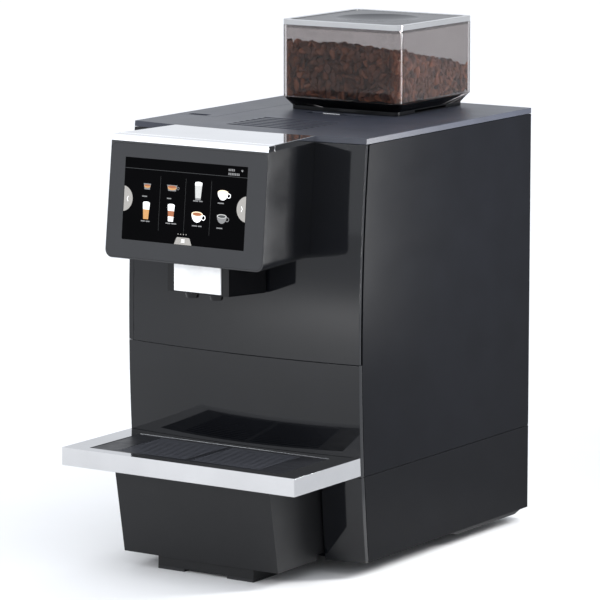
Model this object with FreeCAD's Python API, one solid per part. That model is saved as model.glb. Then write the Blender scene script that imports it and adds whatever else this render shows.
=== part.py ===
"""Countertop bean-to-cup coffee machine: one STEP file for each of its pieces.

Millimetres, +Z up, origin on the table under the middle of the machine, front towards -Y.
"""
import FreeCAD
import Part
import math
import os

V = FreeCAD.Vector

# ---- overall sizes -------------------------------------------------------------------------------
BODY_W = 300.0          # width over the side panels
BODY_D = 349.0          # side panels, from the foremost point of their front edge to the back
TRAY_REACH = 131.0      # how far the drip tray stands in front of the side panels
REAR_OUT = 3.0          # how far the mains inlet's rim stands behind the back
TOP_Z = 472.7           # top of the body
WAIST_Z = 232.5         # seam between the door and the lower front panel
SEAM_Z = 110.9          # seam between the side panels and the base
BASE_Z = 15.6           # underside of the base

HALF_W = BODY_W / 2
FRONT_Y = -(BODY_D + REAR_OUT - TRAY_REACH) / 2
BACK_Y = FRONT_Y + BODY_D
TRAY_Y = FRONT_Y - TRAY_REACH

# ---- clearances ----------------------------------------------------------------------------------
SEAM = 0.6              # visible joint between neighbouring covers
SLIDE = 0.8             # between a sliding piece and what it passes
SWING = 1.5             # between the door and what stays still
PIN_FIT = 0.05          # radial, running pins and shafts

# ---- doubly curved front -------------------------------------------------------------------------
PROUD = 6.7             # door and front panels stand this far in front of the side panels
PROFILE_R = 1925.0      # arc of the front seen from the side
PLAN_R = 1000.0         # arc of the front seen from above
PROFILE_Z = (BASE_Z + TOP_Z) / 2
AXIS_Y = FRONT_Y - PROUD + math.sqrt(PLAN_R ** 2 - HALF_W ** 2)

# ---- sheet and wall sizes ------------------------------------------------------------------------
SHEET = 2.0
TOP_T = 6.0
FRONT_T = 5.5
LEAF_T = 3.2
BASE_WALL = 3.0
PANEL_TOP = TOP_Z - TOP_T - SEAM

# ---- door ----------------------------------------------------------------------------------------
HINGE_X = -HALF_W + 8.0
HINGE_Y = FRONT_Y + 8.0
HINGE_R = 3.0
HINGE_EYE_R = 4.8
HINGE_Z = (WAIST_Z + 22.0, WAIST_Z + 156.0)
HINGE_LEN = 12.0
HINGE_PLATE = 5.0
HINGE_HEAD = 1.5
TRIM_W = 6.6
DOOR_DEPTH = 10.0
DOOR_RIM = 9.0

# ---- display head --------------------------------------------------------------------------------
HEAD_W = 203.0
HEAD_W_BACK = 180.0
HEAD_H = 130.3
HEAD_OUT = 116.4        # bottom front edge, in front of the side panels
HEAD_TILT = 5.8
HEAD_WALL = 3.0
HEAD_ROUND = 9.0
HEAD_TOP_T = 6.3
GLASS_T = 2.5
GLASS_INSET = 1.6
SCREEN_W = 157.0
SCREEN_H = 87.5
SCREEN_X = -2.5
SCREEN_UP = 20.5        # lower edge of the screen above the lower edge of the head

# ---- spout ---------------------------------------------------------------------------------------
SPOUT_W = 79.0
SPOUT_OUT = 88.6
SPOUT_DROP = 35.0       # the block's lower front edge, below the head
SPOUT_TRAVEL = 70.0
SPOUT_H = SPOUT_DROP + SPOUT_TRAVEL + 3.0
SPOUT_SLOPE = 4.7
NOZZLE_R = 7.8
NOZZLE_X = 15.5
BADGE_W = 60.0
BADGE_H = 31.0

# ---- drip tray and drawer ------------------------------------------------------------------------
FRAME_TOP = 132.4
FRAME_H = 19.4
FRAME_SIDE = 26.5
FRAME_FRONT = 14.0
TUB_W = 200.0
TUB_TOP_OUT = 104.0
TUB_FOOT_OUT = 86.6
TUB_WALL = 2.5
DRAWER_TRAVEL = 190.0
DRAWER_IN = DRAWER_TRAVEL + 6.0     # drawer depth behind the front of the side panels
GRID_T = 5.0
GRID_SLOTS = 14

# ---- bean hopper ---------------------------------------------------------------------------------
HOPPER_W = 157.0
NECK_W = 141.0
HOPPER_Y = BACK_Y - 86.0
HOPPER_H = 100.7
HOPPER_ROUND = 10.0
HOPPER_WALL = 3.0
NECK_H = 4.0
TAPER_H = 10.0
LID_H = 6.0
THROAT_R = 27.0

# ---- water tank ----------------------------------------------------------------------------------
TANK_FRONT = 83.0       # front of the tank lid, behind the front of the side panels
TANK_SIDE_GAP = 18.5    # between the hopper and the tank lid
TANK_WALL = 2.5

LID_X = -(HOPPER_W / 2 + TANK_SIDE_GAP)


DOOR_Z0 = WAIST_Z + SEAM / 2
DOOR_Z1 = PANEL_TOP
HEAD_Z0 = TOP_Z - HEAD_H
CATCH_X = HALF_W - 26.0
CATCH_Z = (DOOR_Z0 + HEAD_Z0) / 2


# =====================================================================================================
# building blocks
# =====================================================================================================
def box(x0, x1, y0, y1, z0, z1):
    return Part.makeBox(x1 - x0, y1 - y0, z1 - z0, V(x0, y0, z0))


def post(radius, x, y, z0, z1):
    """Upright cylinder."""
    return Part.makeCylinder(radius, z1 - z0, V(x, y, z0), V(0, 0, 1))


def rod_x(radius, x0, x1, y, z):
    return Part.makeCylinder(radius, x1 - x0, V(x0, y, z), V(1, 0, 0))


def rod_y(radius, x, y0, y1, z):
    return Part.makeCylinder(radius, y1 - y0, V(x, y0, z), V(0, 1, 0))


def rounded(x0, x1, y0, y1, z0, z1, radius):
    """Block with its upright edges rounded."""
    solid = box(x0, x1, y0, y1, z0, z1)
    upright = [e for e in solid.Edges if abs(e.Vertexes[0].Z - e.Vertexes[1].Z) > (z1 - z0) / 2]
    return solid.makeFillet(radius, upright)


def prism_x(points, x0, x1):
    """Outline given as (y, z), extruded along X."""
    corners = [V(x0, y, z) for y, z in points]
    return Part.Face(Part.makePolygon(corners + corners[:1])).extrude(V(x1 - x0, 0, 0))


def prism_z(points, z0, z1):
    """Outline given as (x, y), extruded upwards."""
    corners = [V(x, y, z0) for x, y in points]
    return Part.Face(Part.makePolygon(corners + corners[:1])).extrude(V(0, 0, z1 - z0))


def rounded_loft(side0, side1, y, z0, z1, radius0, radius1):
    """Square block with rounded corners that widens from side0 to side1."""
    wires = []
    for side, z, radius in ((side0, z0, radius0), (side1, z1, radius1)):
        half = side / 2
        slab = rounded(-half, half, y - half, y + half, z, z + 1, radius)
        lowest = min(slab.Faces, key=lambda face: face.CenterOfMass.z)
        wires.append(lowest.OuterWire)
    return Part.makeLoft(wires, True, True)


def setback(z):
    """How far the arc of the front lies behind its foremost point at this height."""
    return PROFILE_R - math.sqrt(PROFILE_R ** 2 - (z - PROFILE_Z) ** 2)


def side_edge_y(z):
    return FRONT_Y + setback(z)


def skin_y(x, z, depth=0.0):
    """Y of the front surface, or of a surface this deep behind it."""
    radius = PLAN_R - setback(z) - depth
    return AXIS_Y - math.sqrt(radius ** 2 - x ** 2)


def front_skin(x0, x1, z0, z1, depth, thickness):
    """Slice of the doubly curved front between two depths behind its surface."""
    half_angle = math.degrees(math.asin(HALF_W * 1.1 / (PLAN_R - 60)))
    zm = (z0 + z1) / 2

    def point(z, deep):
        return V(0, AXIS_Y - PLAN_R + setback(z) + deep, z)

    back = depth + thickness
    edges = [Part.Arc(point(z0, depth), point(zm, depth), point(z1, depth)).toShape(),
             Part.makeLine(point(z1, depth), point(z1, back)),
             Part.Arc(point(z1, back), point(zm, back), point(z0, back)).toShape(),
             Part.makeLine(point(z0, back), point(z0, depth))]
    face = Part.Face(Part.Wire(edges))
    face.rotate(V(0, AXIS_Y, 0), V(0, 0, 1), -half_angle)
    solid = face.revolve(V(0, AXIS_Y, 0), V(0, 0, 1), 2 * half_angle)
    return solid.common(box(x0, x1, TRAY_Y - 100, BACK_Y, z0 - 1, z1 + 1))


def arc_front(x0, x1, z0, z1, y_back):
    """Block whose front follows the arc of the side panels' front edge."""
    zm = (z0 + z1) / 2
    edges = [Part.Arc(V(x0, side_edge_y(z0), z0), V(x0, side_edge_y(zm), zm),
                      V(x0, side_edge_y(z1), z1)).toShape(),
             Part.makeLine(V(x0, side_edge_y(z1), z1), V(x0, y_back, z1)),
             Part.makeLine(V(x0, y_back, z1), V(x0, y_back, z0)),
             Part.makeLine(V(x0, y_back, z0), V(x0, side_edge_y(z0), z0))]
    return Part.Face(Part.Wire(edges)).extrude(V(x1 - x0, 0, 0))


def group(solids):
    return Part.makeCompound(solids)


def tube_path(points, radius, bend):
    """Round hose through the points, with its corners bent to one radius."""
    edges = []
    start = points[0]
    for before, corner, after in zip(points, points[1:], points[2:]):
        to_a = (before - corner).normalize()
        to_b = (after - corner).normalize()
        half_turn = to_a.getAngle(to_b) / 2
        reach = bend / math.tan(half_turn)
        a = corner + to_a * reach
        b = corner + to_b * reach
        middle = (to_a + to_b).normalize()
        centre = corner + middle * (bend / math.sin(half_turn))
        edges.append(Part.makeLine(start, a))
        edges.append(Part.Arc(a, centre - middle * bend, b).toShape())
        start = b
    edges.append(Part.makeLine(start, points[-1]))
    path = Part.Wire(edges)
    way = points[1] - points[0]
    ring = Part.Wire(Part.makeCircle(radius, points[0], way))
    return path.makePipeShell([ring], True, True)


# =====================================================================================================
# base
# =====================================================================================================
DRAWER_HALF = TUB_W / 2
OPENING_HALF = DRAWER_HALF + 2.5
FOOT_HALF = 62.0
FOOT_PAD_T = 3.0
FOOT_FRONT_OUT = 77.0
FOOT_REAR = (95.0, 15.0)    # in front of the back
SKID_REAR = (166.0, 13.0)
SKID_DROP = 3.8


def base_pan():
    shell = arc_front(-HALF_W, HALF_W, BASE_Z, SEAM_Z - SEAM, BACK_Y)
    inside = box(-HALF_W + BASE_WALL, HALF_W - BASE_WALL, FRONT_Y + 18, BACK_Y - BASE_WALL,
                 BASE_Z + BASE_WALL, SEAM_Z + 1)
    mouth = box(-OPENING_HALF, OPENING_HALF, FRONT_Y - 1, FRONT_Y + 20, BASE_Z + BASE_WALL, SEAM_Z + 1)
    return shell.cut(inside).cut(mouth)


def base_front_panel():
    skin = front_skin(-HALF_W, HALF_W, BASE_Z, SEAM_Z - SEAM, 0, FRONT_T)
    return skin.cut(box(-OPENING_HALF, OPENING_HALF, TRAY_Y, FRONT_Y + 30, BASE_Z - 1, SEAM_Z + 1))


def foot_blocks():
    front = box(-FOOT_HALF, FOOT_HALF, FRONT_Y - FOOT_FRONT_OUT, FRONT_Y + 24, FOOT_PAD_T, BASE_Z)
    rear = box(-FOOT_HALF, FOOT_HALF, BACK_Y - FOOT_REAR[0], BACK_Y - FOOT_REAR[1], FOOT_PAD_T, BASE_Z)
    return group([front, rear] + side_skids())


def rubber_feet():
    pads = []
    for y0, y1 in ((FRONT_Y - FOOT_FRONT_OUT, FRONT_Y + 24),
                   (BACK_Y - FOOT_REAR[0], BACK_Y - FOOT_REAR[1])):
        for side in (-1, 1):
            inner = side * FOOT_HALF * 0.45
            x0, x1 = sorted((inner, side * FOOT_HALF))
            pads.append(box(x0, x1, y0, y1, 0, FOOT_PAD_T))
    return group(pads)


def side_skids():
    """Low ribs along the base's sides; they hang clear of the table."""
    skids = []
    y0, y1 = (BACK_Y - reach for reach in SKID_REAR)
    low = BASE_Z - SKID_DROP
    for side in (-1, 1):
        x0, x1 = sorted((side * (HALF_W - 22), side * (HALF_W - 1)))
        skids.append(prism_x([(y0, BASE_Z), (y0 + 14, low), (y1 - 14, low), (y1, BASE_Z)], x0, x1))
    return skids


# =====================================================================================================
# body covers
# =====================================================================================================
FLANGE = 12.0
RETURN_DEEP = 8.0       # the door's return on the hinge side ends this far behind the hinge axis
RETURN_GAP = 2.2        # room behind the return, which swings inwards as the door opens


def side_panel(side):
    x0, x1 = sorted((side * (HALF_W - SHEET), side * HALF_W))
    sheet = arc_front(x0, x1, SEAM_Z, PANEL_TOP, BACK_Y)
    f0, f1 = sorted((side * (HALF_W - FLANGE), side * (HALF_W - SHEET)))
    sheet = sheet.fuse(box(f0, f1, BACK_Y - SHEET, BACK_Y, SEAM_Z, PANEL_TOP))
    if side < 0:
        sheet = sheet.cut(box(x0 - 1, x1 + 1, FRONT_Y - 1, HINGE_Y + RETURN_DEEP + RETURN_GAP,
                              DOOR_Z0 - SEAM, PANEL_TOP + 1))
    return sheet.removeSplitter()


def lower_front_panel():
    return front_skin(-HALF_W, HALF_W, SEAM_Z, WAIST_Z - SEAM / 2, 0, FRONT_T)


def back_panel():
    edge = HALF_W - FLANGE - SEAM
    sheet = box(-edge, edge, BACK_Y - SHEET, BACK_Y, SEAM_Z, PANEL_TOP)
    for row in range(10):
        z = SEAM_Z + 36 + row * 9
        sheet = sheet.cut(rounded_slot_y(-88, -16, z, BACK_Y))
    sheet = sheet.cut(rod_y(INLET_R + 0.4, INLET_X, BACK_Y - 5, BACK_Y + 5, INLET_Z))
    switch = box(SWITCH_X - SWITCH_W / 2 - 0.4, SWITCH_X + SWITCH_W / 2 + 0.4, BACK_Y - 5, BACK_Y + 5,
                 INLET_Z - SWITCH_H / 2 - 0.4, INLET_Z + SWITCH_H / 2 + 0.4)
    return sheet.cut(switch)


def rounded_slot_y(x0, x1, z, y):
    """Cutter for a level slot through a sheet that faces +Y."""
    height = 4.0
    bar = box(x0, x1, y - 4, y + 4, z - height / 2, z + height / 2)
    ends = [rod_y(height / 2, x, y - 4, y + 4, z) for x in (x0, x1)]
    return bar.multiFuse(ends)


def back_screws():
    screws = []
    edge = HALF_W - FLANGE - SEAM - 8
    for x in (-edge, edge):
        for z in (SEAM_Z + 12, (SEAM_Z + PANEL_TOP) / 2, PANEL_TOP - 12):
            head = rod_y(3.6, x, BACK_Y, BACK_Y + 2.0, z)
            cross = box(x - 2.2, x + 2.2, BACK_Y + 1.1, BACK_Y + 3, z - 0.5, z + 0.5)
            cross = cross.fuse(box(x - 0.5, x + 0.5, BACK_Y + 1.1, BACK_Y + 3, z - 2.2, z + 2.2))
            screws.append(head.cut(cross))
    return group(screws)


VENT_X = 48.5
VENT_FRONT = 31.0
VENT_BACK = 114.0
VENT_COUNT = 7
LOCK_Y = HOPPER_Y - 85.0
LOCK_HALF = 36.0
LOCK_DEEP = 3.0
TAB_HALF = 14.0
LOCK_TRAVEL = 18.0


def top_panel():
    plate = front_skin(-HALF_W, HALF_W, PANEL_TOP + SEAM, TOP_Z, 0, 60)
    plate = plate.fuse(box(-HALF_W, HALF_W, FRONT_Y + 20, BACK_Y, PANEL_TOP + SEAM, TOP_Z))
    plate = plate.removeSplitter()
    plate = plate.cut(box(-HALF_W - 1, LID_X + SEAM, FRONT_Y + TANK_FRONT - SEAM, BACK_Y + 1,
                          PANEL_TOP, TOP_Z + 1))
    plate = plate.cut(post(THROAT_R + HOPPER_WALL + SLIDE, 0, HOPPER_Y, PANEL_TOP, TOP_Z + 1))
    pitch = (VENT_BACK - VENT_FRONT) / VENT_COUNT
    for row in range(VENT_COUNT):
        y = FRONT_Y + VENT_FRONT + (row + 0.5) * pitch
        plate = plate.cut(box(-VENT_X, VENT_X, y - pitch * 0.26, y + pitch * 0.26, PANEL_TOP, TOP_Z + 1))
    recess = box(-LOCK_HALF, LOCK_HALF, LOCK_Y - 6, LOCK_Y + 6, TOP_Z - LOCK_DEEP, TOP_Z + 1)
    slit = box(-LOCK_HALF + 6, LOCK_HALF - 6, LOCK_Y - 2.2, LOCK_Y + 2.2, PANEL_TOP, TOP_Z + 1)
    return plate.cut(recess).cut(slit)


def hopper_lock():
    """Tab that slides along the slit in front of the hopper."""
    tab = box(-TAB_HALF, TAB_HALF - LOCK_TRAVEL / 3, LOCK_Y - 4.5, LOCK_Y + 4.5,
              TOP_Z - LOCK_DEEP + 0.4, TOP_Z + 0.6)
    stem = box(-10, 6, LOCK_Y - 1.6, LOCK_Y + 1.6, TOP_Z - TOP_T - 4, TOP_Z - 1)
    shoe = box(-12, 8, LOCK_Y - 5, LOCK_Y + 5, TOP_Z - TOP_T - 4, TOP_Z - TOP_T - 0.6)
    return tab.multiFuse([stem, shoe]).removeSplitter()


# =====================================================================================================
# inner frame
# =====================================================================================================
FRAME_Y = FRONT_Y + 25.0
WINDOW_HALF = 78.0
SHELF_Z = SEAM_Z + 14.0


def inner_frame():
    """Upright sheet behind the door, open where the brew group is reached."""
    half = HALF_W - SHEET - SEAM
    sheet = box(-half, half, FRAME_Y, FRAME_Y + SHEET, SEAM_Z + 2, PANEL_TOP - 4)
    sheet = sheet.cut(box(-WINDOW_HALF, WINDOW_HALF, FRAME_Y - 1, FRAME_Y + SHEET + 1,
                          SHELF_Z + 12, BREW_TOP + 10))
    return group([sheet, shelf(half)])


def shelf(half):
    """Floor of the machine room above the drawer, with a hole for spent grounds."""
    plate = box(-half, half, FRAME_Y + SHEET, BACK_Y - SHEET - SEAM, SHELF_Z, SHELF_Z + SHEET)
    return plate.cut(box(-48, 48, BREW_Y - 52, BREW_Y + 40, SHELF_Z - 1, SHELF_Z + SHEET + 1))


def frame_fittings():
    """Fixed halves of the two door hinges and the plate that the door's catch meets."""
    parts = []
    for z in HINGE_Z:
        z0 = z - HINGE_PLATE
        plate = box(HINGE_X - HINGE_EYE_R, HINGE_X + HINGE_EYE_R, HINGE_Y, FRAME_Y, z0, z)
        eye = post(HINGE_EYE_R, HINGE_X, HINGE_Y, z0, z)
        parts.append(plate.fuse(eye).removeSplitter().cut(post(HINGE_R, HINGE_X, HINGE_Y, z - 6, z + 1)))
    parts.append(box(CATCH_X - 10, CATCH_X + 10, FRAME_Y - 2, FRAME_Y, CATCH_Z - 15, CATCH_Z + 15))
    return group(parts)


def hinge_pins():
    pins = []
    for z in HINGE_Z:
        z0 = z - HINGE_PLATE
        pin = post(HINGE_R, HINGE_X, HINGE_Y, z0, z + HINGE_LEN)
        head = post(HINGE_R + 1.2, HINGE_X, HINGE_Y, z0 - HINGE_HEAD, z0)
        pins.append(pin.fuse(head).removeSplitter())
    return group(pins)


def drawer_rails():
    rails = []
    z0 = BASE_Z + BASE_WALL
    for side in (-1, 1):
        x0, x1 = sorted((side * (DRAWER_HALF + SLIDE), side * (DRAWER_HALF + 10)))
        f0, f1 = sorted((side * (DRAWER_HALF - 12), side * (DRAWER_HALF + 10)))
        upright = box(x0, x1, FRONT_Y + 22, FRONT_Y + DRAWER_IN, z0, z0 + 22)
        ledge = box(f0, f1, FRONT_Y + 22, FRONT_Y + DRAWER_IN, z0, TUB_Z - SLIDE / 2)
        rails.append(upright.fuse(ledge).removeSplitter())
    return group(rails)


# =====================================================================================================
# door with the display head
# =====================================================================================================
HEAD_Z1 = TOP_Z - HEAD_TOP_T
HEAD_Y = FRONT_Y - HEAD_OUT
HEAD_RUN = math.tan(math.radians(HEAD_TILT))


def door_leaf():
    skin = front_skin(-HALF_W + TRIM_W + SEAM, HALF_W, DOOR_Z0, DOOR_Z1, 0, LEAF_T)
    return skin.cut(hose_hole())


def hose_hole():
    """Passage for the outlet hoses, behind the head."""
    return rounded(-16, 16, FRONT_Y - 60, FRONT_Y + 40, HEAD_Z0 + 22, HEAD_Z0 + 52, 2)


def hinge_trim():
    """Strip along the door's hinge side with its return, which fills the notch in the side panel."""
    strip = front_skin(-HALF_W, -HALF_W + TRIM_W, DOOR_Z0, DOOR_Z1, 0, LEAF_T)
    flange = box(-HALF_W, -HALF_W + SHEET, FRONT_Y - PROUD - 1, HINGE_Y + RETURN_DEEP, DOOR_Z0, DOOR_Z1)
    flange = flange.cut(front_skin(-HALF_W - 1, -HALF_W + TRIM_W, DOOR_Z0 - 5, DOOR_Z1 + 5,
                                   -40, 40 + LEAF_T))
    for z in HINGE_Z:
        room = box(-HALF_W - 1, -HALF_W + TRIM_W, HINGE_Y - 7, HINGE_Y + RETURN_DEEP + 1,
                   z - HINGE_PLATE - HINGE_HEAD - SLIDE, z + SLIDE)
        flange = flange.cut(room)
    return strip.fuse(flange).removeSplitter()


def door_inner():
    x0 = -HALF_W + TRIM_W + SEAM + 6
    x1 = HALF_W - SHEET - 3 * SWING
    pan = front_skin(x0, x1, DOOR_Z0 + 2, DOOR_Z1 - 3, LEAF_T, DOOR_DEPTH)
    hollow = front_skin(x0 + DOOR_RIM, x1 - DOOR_RIM, DOOR_Z0 + 2 + DOOR_RIM, DOOR_Z1 - 3 - DOOR_RIM,
                        LEAF_T + 2.5, DOOR_DEPTH + 2)
    pan = pan.cut(hollow).cut(hose_hole())
    for z in HINGE_Z:
        room = box(x0 - 1, HINGE_X + HINGE_EYE_R + 12, FRONT_Y - 12, FRONT_Y + 40,
                   z - 8, z + HINGE_LEN + 2)
        pan = pan.cut(room)
    return pan


def door_fittings():
    """Moving halves of the hinges, each an eye with a web to the leaf, and the magnetic catch."""
    eyes = []
    for z in HINGE_Z:
        z0, z1 = z + 0.6, z + HINGE_LEN
        eye = post(HINGE_EYE_R, HINGE_X, HINGE_Y, z0, z1)
        web_x = HINGE_X + HINGE_EYE_R + 11
        web = box(HINGE_X, web_x, HINGE_Y - 3, HINGE_Y + 3, z0, z1)
        foot = box(web_x - 8, web_x, FRONT_Y - 12, HINGE_Y + 3, z0, z1)
        foot = foot.cut(front_skin(-HALF_W, HALF_W, z0 - 2, z1 + 2, -40, 40 + LEAF_T))
        arm = eye.multiFuse([web, foot]).removeSplitter()
        eyes.append(arm.cut(post(HINGE_R + PIN_FIT, HINGE_X, HINGE_Y, z0 - 1, z1 + 1)))
    return group(eyes + [door_catch()])


def door_catch():
    z0, z1 = CATCH_Z - 14, CATCH_Z + 14
    block = box(CATCH_X - 9, CATCH_X + 9, FRONT_Y - 12, FRAME_Y - 2.5, z0, z1)
    return block.cut(front_skin(-HALF_W, HALF_W, z0 - 6, z1 + 6, -40, 42.5 + LEAF_T))


def head_prism(inset, z0, z1, front):
    """Tapered block with the tilted front: inset from the sides, set back from the front."""
    half, back_half = HEAD_W / 2 - inset, HEAD_W_BACK / 2 - inset
    back = FRONT_Y
    lean0 = HEAD_Y + (z0 - HEAD_Z0) * HEAD_RUN + front
    lean1 = HEAD_Y + (z1 - HEAD_Z0) * HEAD_RUN + front
    profile = prism_x([(lean0, z0), (lean1, z1), (back, z1), (back, z0)], -HEAD_W, HEAD_W)
    reach = FRONT_Y - HEAD_Y
    flare = (half - back_half) * 10 / reach
    plan = prism_z([(-half - flare, HEAD_Y - 10), (half + flare, HEAD_Y - 10),
                    (back_half, back), (-back_half, back)], z0, z1)
    return profile.common(plan)


def long_edges(solid, low, high):
    """Edges that run from front to back, between two heights."""
    found = []
    for edge in solid.Edges:
        ends = edge.Vertexes
        if abs(ends[0].Y - ends[1].Y) > HEAD_OUT / 2 and abs(ends[0].Z - ends[1].Z) < 1:
            if low <= ends[0].Z <= high:
                found.append(edge)
    return found


def head_housing():
    outer = head_prism(0, HEAD_Z0, HEAD_Z1, 0)
    outer = outer.makeFillet(HEAD_ROUND, long_edges(outer, HEAD_Z0 - 1, HEAD_Z0 + 1))
    front_wall = GLASS_T + 1.2
    inner = head_prism(HEAD_WALL, HEAD_Z0 + HEAD_WALL, HEAD_Z1 + 1, front_wall + 11)
    inner = inner.makeFillet(HEAD_ROUND - HEAD_WALL,
                             long_edges(inner, HEAD_Z0 + HEAD_WALL - 1, HEAD_Z0 + HEAD_WALL + 1))
    shell = outer.cut(inner)
    shell = shell.cut(screen_slab(0, HEAD_W - 2 * GLASS_INSET, GLASS_INSET,
                                  HEAD_H - HEAD_TOP_T - 2 * GLASS_INSET, GLASS_T, HEAD_ROUND - 2))
    room = SLIDE
    shell = shell.cut(box(-SPOUT_W / 2 - room, SPOUT_W / 2 + room, FRONT_Y - SPOUT_OUT - BADGE_T - room,
                          FRONT_Y + 5, HEAD_Z0 - 1, HEAD_Z0 + HEAD_WALL + 1))
    shell = shell.cut(screen_slab(SCREEN_X, SCREEN_W + 6, SCREEN_UP - 3, SCREEN_H + 6, 12.5, 1.5))
    return shell.cut(front_skin(-HALF_W, HALF_W, HEAD_Z0 - 5, TOP_Z + 5, -0.1, 60))


def screen_slab(x, width, up, height, thickness, radius, sink=0.0):
    """Plate parallel to the tilted front of the head."""
    plate = box(x - width / 2, x + width / 2, sink, sink + thickness, up, up + height)
    corners = [e for e in plate.Edges if abs(e.Vertexes[0].Y - e.Vertexes[1].Y) > thickness / 2
               and abs(e.Vertexes[0].Z - e.Vertexes[1].Z) < 1e-6
               and abs(e.Vertexes[0].X - e.Vertexes[1].X) < 1e-6]
    plate = plate.makeFillet(radius, corners)
    plate.rotate(V(0, 0, 0), V(1, 0, 0), -HEAD_TILT)
    plate.translate(V(0, HEAD_Y, HEAD_Z0))
    return plate


def display_glass():
    fit = 0.15
    plate = screen_slab(0, HEAD_W - 2 * GLASS_INSET - 2 * fit, GLASS_INSET + fit,
                        HEAD_H - HEAD_TOP_T - 2 * GLASS_INSET - 2 * fit, GLASS_T, HEAD_ROUND - 2)
    return plate.cut(screen_slab(SCREEN_X, SCREEN_W, SCREEN_UP, SCREEN_H, GLASS_T + 3, 0.8, -1))


def display_screen():
    fit = 0.12
    return screen_slab(SCREEN_X, SCREEN_W - 2 * fit, SCREEN_UP + fit, SCREEN_H - 2 * fit, 2.0, 0.7, 0.15)


def head_top_plate():
    top = head_prism(0, HEAD_Z1, TOP_Z + 0.2, 13.5)
    return top.cut(front_skin(-HALF_W, HALF_W, HEAD_Z1 - 5, TOP_Z + 5, -SWING / 2, 60))


def head_trim():
    """Bright strip along the front of the head's top."""
    front = head_prism(0, HEAD_Z1, TOP_Z, 0)
    behind = head_prism(-1, HEAD_Z1 - 1, TOP_Z + 1, 13.0)
    strip = front.cut(behind)
    upper = [e for e in strip.Edges if e.Length > HEAD_W / 2 and e.BoundBox.ZMin > TOP_Z - 0.1
             and e.BoundBox.YMax < HEAD_Y + 20]
    front_edge = min(upper, key=lambda e: e.CenterOfMass.y)
    return strip.makeFillet(1.2, [front_edge])


# =====================================================================================================
# spout
# =====================================================================================================
BADGE_T = 1.5
SPOUT_Y = FRONT_Y - SPOUT_OUT
SPOUT_Z = HEAD_Z0 - SPOUT_DROP
SPOUT_BACK = skin_y(0, PROFILE_Z) - SWING
SPOUT_WALL = 2.5
NOZZLE_Y = SPOUT_Y + 4 + NOZZLE_R


def spout_block():
    z1 = SPOUT_Z + SPOUT_H
    half = SPOUT_W / 2
    low = SPOUT_Z - SPOUT_SLOPE
    block = prism_x([(SPOUT_Y, SPOUT_Z), (SPOUT_Y, z1), (SPOUT_BACK, z1), (SPOUT_BACK, low)], -half, half)
    hollow = box(-half + SPOUT_WALL, half - SPOUT_WALL, SPOUT_Y + SPOUT_WALL, SPOUT_BACK - SPOUT_WALL,
                 SPOUT_Z + 4, z1 + 1)
    block = block.cut(hollow)
    for side in (-1, 1):
        block = block.cut(post(NOZZLE_R - 1.6, side * NOZZLE_X, NOZZLE_Y, SPOUT_Z - 10, SPOUT_Z + 6))
    return block


def nozzles():
    parts = []
    for side in (-1, 1):
        x = side * NOZZLE_X
        lip = Part.makeCone(NOZZLE_R - 1.2, NOZZLE_R, 4.5, V(x, NOZZLE_Y, SPOUT_Z - 6.5))
        neck = post(NOZZLE_R, x, NOZZLE_Y, SPOUT_Z - 2, SPOUT_Z + 0.5)
        low = prism_x([(SPOUT_Y, SPOUT_Z), (SPOUT_Y, SPOUT_Z + 9), (SPOUT_BACK, SPOUT_Z + 9),
                       (SPOUT_BACK, SPOUT_Z - SPOUT_SLOPE)], -SPOUT_W, SPOUT_W)
        inner = post(NOZZLE_R - 1.7, x, NOZZLE_Y, SPOUT_Z - 4, SPOUT_Z + 14)
        tip = lip.fuse(neck).cut(low).fuse(inner).removeSplitter()
        parts.append(tip.cut(post(NOZZLE_R - 4, x, NOZZLE_Y, SPOUT_Z - 9, SPOUT_Z + 15)))
    return group(parts)


def badge_plate():
    """Blank plate on the front of the spout."""
    z0 = SPOUT_Z + 1.5
    plate = box(-BADGE_W / 2, BADGE_W / 2, SPOUT_Y - BADGE_T, SPOUT_Y, z0, z0 + BADGE_H)
    return plate


# =====================================================================================================
# drip tray and drawer
# =====================================================================================================
TUB_Z = BASE_Z + BASE_WALL + 4.0
TUB_FRONT_Z = BASE_Z + 0.9
TUB_INNER = DRAWER_HALF - TUB_WALL
FRAME_Z0 = FRAME_TOP - FRAME_H
GRID_FRONT = TRAY_Y + FRAME_FRONT
GRID_HALF = HALF_W - FRAME_SIDE
GRID_BACK = FRONT_Y - 24.0
FLOAT_R = 7.0
FLOAT_TRAVEL = 8.0
FLOAT_X = 70.0
FLOAT_Y = FRONT_Y - 60.0
BIN_FRONT = FRONT_Y + 20.0


def tray_frame():
    """Polished ring round the drip grid; its back follows the front panel."""
    ring = box(-HALF_W, HALF_W, TRAY_Y, FRONT_Y + 10, FRAME_Z0, FRAME_TOP)
    ring = ring.cut(front_skin(-HALF_W - 2, HALF_W + 2, FRAME_Z0 - 3, FRAME_TOP + 3, -SLIDE, 60))
    seat = box(-GRID_HALF, GRID_HALF, GRID_FRONT, GRID_BACK, FRAME_TOP - GRID_T - 0.5, FRAME_TOP + 1)
    through = box(-TUB_INNER, TUB_INNER, GRID_FRONT + 4, GRID_BACK - 3, FRAME_Z0 - 1, FRAME_TOP + 1)
    ring = ring.cut(seat).cut(through)
    trough = box(-GRID_HALF + 4, GRID_HALF - 4, GRID_FRONT + 4, GRID_BACK - 3,
                 FRAME_Z0 + 3, FRAME_TOP + 1)
    return ring.cut(trough)


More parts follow.
